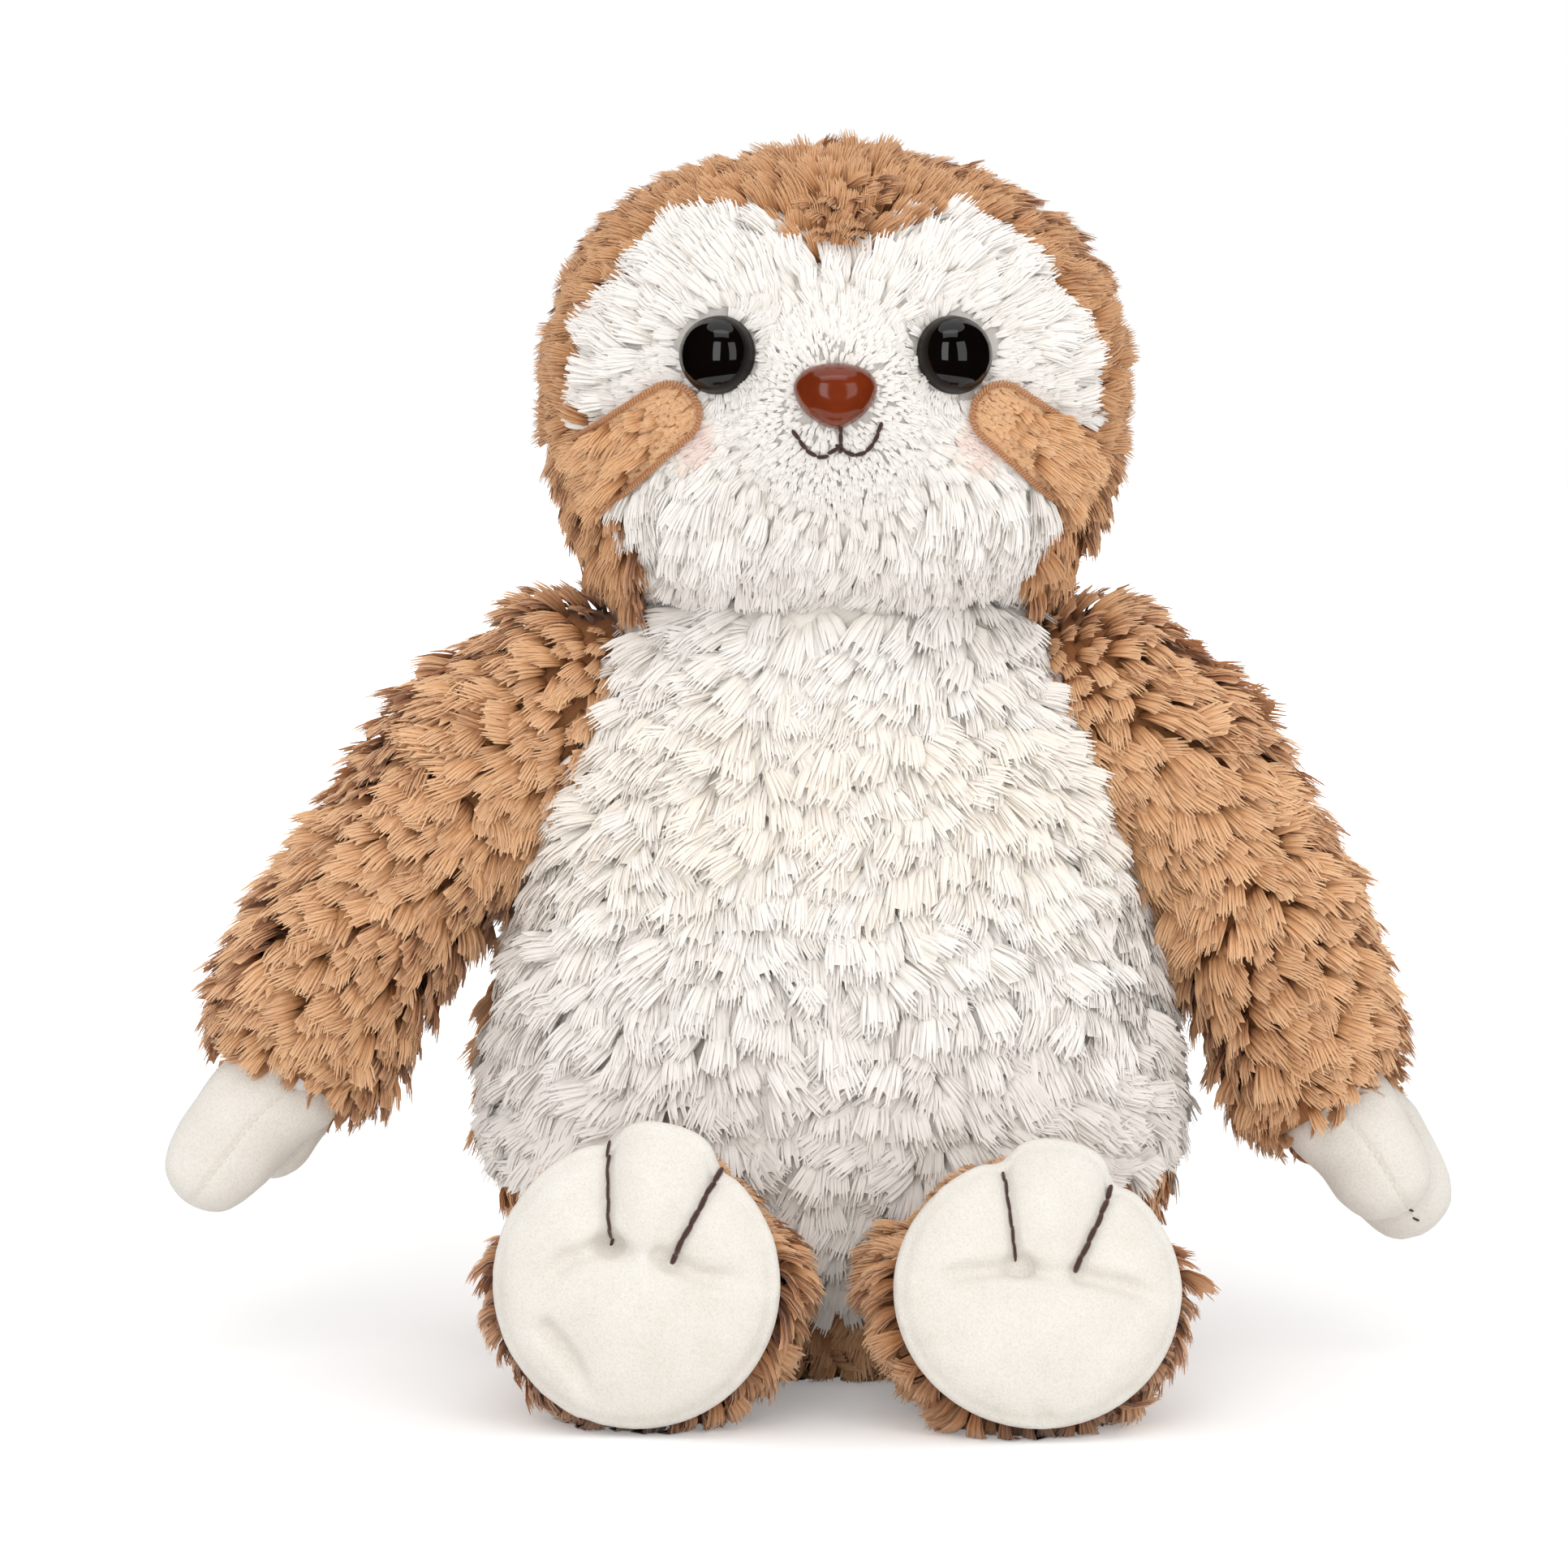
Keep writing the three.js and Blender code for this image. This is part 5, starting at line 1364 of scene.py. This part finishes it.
def buildMitt(side, name):
    obj = newPiece(f"{name}_mitt_cushion", *mittForm(side), ivoryVelour)
    applied(obj, "REMESH", mode="VOXEL", voxel_size=mitt["voxel"] * mm)
    applied(obj, "SMOOTH", iterations=5, factor=0.5)
    points, normals = meshPoints(obj.data), meshNormals(obj.data)
    # the cuff, the fold between the lobes and the seam are held
    hollow = hollowness(obj.data, points, normals)
    fold, sharp = points[hollow > 0.02], smoothStep(0.02, 0.07, hollow[hollow > 0.02])
    held = np.where((points[:, 2] > -7) | (hollow > 0.05), 1.0, 0.0)
    seam = lambda z: mitt["lobes"][side][-1][2] * smoothStep(0, -14, z) + 1.0
    sewn = (np.abs(points[:, 0] - seam(points[:, 2])) < 0.9) & (normals[:, 1] < -0.3)
    plump(obj, np.maximum(held, 0.5 * sewn), mitt)
    applied(obj, "SUBSURF", levels=1, render_levels=1)
    points, normals = meshPoints(obj.data), meshNormals(obj.data)
    off = np.abs(points[:, 0] - seam(points[:, 2]))
    depth = mitt["seamDepth"] * np.exp(-((off / mitt["seamWidth"]) ** 2))
    depth *= smoothStep(0.1, 0.5, -normals[:, 1]) * (points[:, 1] < 0)
    # the fold is drawn in
    near = np.exp(-(np.linalg.norm(points[:, None] - fold, axis=2) / mitt["foldWidth"]) ** 2)
    depth += mitt["foldDepth"] * (near * sharp).max(1) * smoothStep(-7, -12, points[:, 2])
    depth -= mitt["lumpHeight"] * lumps(points, mitt["lumpSize"], 51 + side)
    points = points - normals * depth[:, None]
    tree = BVHTree.FromPolygons(points.tolist(), [list(f.vertices) for f in obj.data.polygons])
    place = armPlace(side) @ Matrix.Translation((0, 0, -mitt["wrist"]))
    setPoints(obj.data, moved(place, points))
    finishPiece(obj, f"{name}_hand", "ivory_velour", f"{name}_mitt")
    spots = [(seam(z), z) for z in np.linspace(-6, -31, 30)]
    path = threadPath(tree, place, spots, mittSeam["lift"])
    finishPiece(sew(f"{name}_mitt_thread", [path], mittSeam, ivoryFloss), f"{name}_hand", "ivory_velour")
    if side > 0:
        end = tuple(part[-4:] for part in path)
        finishPiece(sew("left_mitt_knot", [end], mittKnot, brownFloss), "left_hand", "brown_thread")


for side, name in sides:
    buildMitt(side, name)
bpy.data.objects.remove(stitchPiece)
print("mitts made")

# Neck wad and pellet pouch, both out of sight
inner = {
    "wad": 23, "pouch": [(27, 15, 0), (34, 19, 9.6), (25.5, 14, 20.4), (10, 5.7, 24)], "pouchBack": 15,
    "pouchLift": 5.5, "uneven": 0.03,
}


def buildInside():
    turns, radius = np.radians(np.linspace(-86, 86, 18)), inner["wad"]
    profile = [(radius * math.cos(a), radius * math.sin(a)) for a in turns]
    points, faces = closedForm(turnedGrid(profile, 32))
    points = points * (1 - inner["uneven"] * np.abs(lumps(points, 9, 31)))[:, None] + [0, 0, head["base"]]
    fillPiece("neck_filling", points, faces, "neck", "neck_wad")
    points, faces = closedForm(bodyGrid(inner["pouch"], 14, 36, 0))
    points = points * (1 + inner["uneven"] * lumps(points, 7, 33))[:, None]
    pouch = newPiece("pellet_pouch", points + [0, inner["pouchBack"], inner["pouchLift"]], faces, pouchCotton)
    finishPiece(pouch, "torso", "pouch_cloth", "seat_pellet_pouch")


buildInside()
print("inside made")

# Light: a pale floor, a white room and soft boxes at a plain level. Places and sizes of lamps are metres.
studio = {
    "world": 0.92, "floor": "#F4F4F4", "floorSize": 6000, "nearGlow": 0.22, "farGlow": 0.75,
    "card": "#060606", "cardRadius": 2200, "cardHeight": 4500, "cardColumns": 24, "aim": (-0.01, 0, 0.12),
    "lamps": [("leftBox", (-0.36, -1.5, 0.45), (0.5, 1.7), 6.5),
              ("rightBox", (0.8, -1.3, 0.45), (0.6, 1.6), 4.9),
              ("topBox", (0, -0.6, 1.35), (0.8, 0.5), 1.6)],
}


def buildRoom():
    # white to the camera and in reflections, a little darker as light
    world = bpy.data.worlds.new("studio")
    scene.world = world
    world.use_nodes = True
    tree = world.node_tree
    ray = addNode(tree, "ShaderNodeLightPath").outputs
    seen = addNode(tree, "ShaderNodeMath", {0: ray["Is Camera Ray"], 1: ray["Is Transmission Ray"]},
                   operation="MAXIMUM")
    seen = addNode(tree, "ShaderNodeMath", {0: seen, 1: ray["Is Glossy Ray"]}, operation="MAXIMUM")
    level = addNode(tree, "ShaderNodeMapRange", {"Value": seen, "To Min": studio["world"], "To Max": 1.0})
    tree.nodes["Background"].inputs["Color"].default_value = (1, 1, 1, 1)
    tree.links.new(level.outputs[0], tree.nodes["Background"].inputs["Strength"])


def buildFloor():
    # fades to white away from the toy and still takes its shadow
    half = studio["floorSize"] / 2
    corners = [(-half, -half, 0), (half, -half, 0), (half, half, 0), (-half, half, 0)]
    material, tree, shader = newMaterial(
        "paleFloor", Roughness=0.9, Base_Color=linear(studio["floor"]), Emission_Color=(1, 1, 1, 1))
    ray = addNode(tree, "ShaderNodeLightPath").outputs
    place = addNode(tree, "ShaderNodeTexCoord").outputs["Object"]
    away = addNode(tree, "ShaderNodeVectorMath", {0: place}, operation="LENGTH")
    fade = addNode(tree, "ShaderNodeMapRange", {
        "Value": away.outputs["Value"], "From Min": 0.2, "From Max": 0.7, "To Min": studio["nearGlow"],
        "To Max": studio["farGlow"]})
    glow = addNode(tree, "ShaderNodeMath", {0: ray["Is Camera Ray"], 1: fade}, operation="MULTIPLY")
    tree.links.new(glow.outputs[0], shader.inputs["Emission Strength"])
    return newPiece("floor", corners, [(0, 1, 2, 3)], material)


def buildCard():
    # black card round the front, which only the polished eyes and nose mirror
    material, _, _ = newMaterial(
        "blackCard", Roughness=1.0, Specular_IOR_Level=0.0, Base_Color=linear(studio["card"]))
    wide = studio["cardColumns"]
    turns = np.radians(np.linspace(-225, 45, wide))
    wall = [(studio["cardRadius"] * math.cos(a), studio["cardRadius"] * math.sin(a)) for a in turns]
    levels = ((0.1, 2), (1, 2), (1, studio["cardHeight"]))
    corners = [(x * k, y * k, z) for k, z in levels for x, y in wall]
    starts = [r * wide + c for r in (0, 1) for c in range(wide - 1)]
    card = newPiece("card", corners, [(a, a + 1, a + 1 + wide, a + wide) for a in starts], material)
    for ray in ("camera", "diffuse", "shadow", "transmission", "volume_scatter"):
        setattr(card, "visible_" + ray, False)
    return card


buildRoom()
floor, card = buildFloor(), buildCard()
for name, place, size, power in studio["lamps"]:
    data = bpy.data.lights.new(name, "AREA")
    data.shape = "RECTANGLE"
    data.size, data.size_y = size
    data.energy = power
    lamp = bpy.data.objects.new(name, data)
    lamp.location = place
    lamp.rotation_euler = (Vector(studio["aim"]) - Vector(place)).to_track_quat("-Z", "Y").to_euler()
    scene.collection.objects.link(lamp)
scene.view_settings.view_transform = "Standard"
print("studio made")
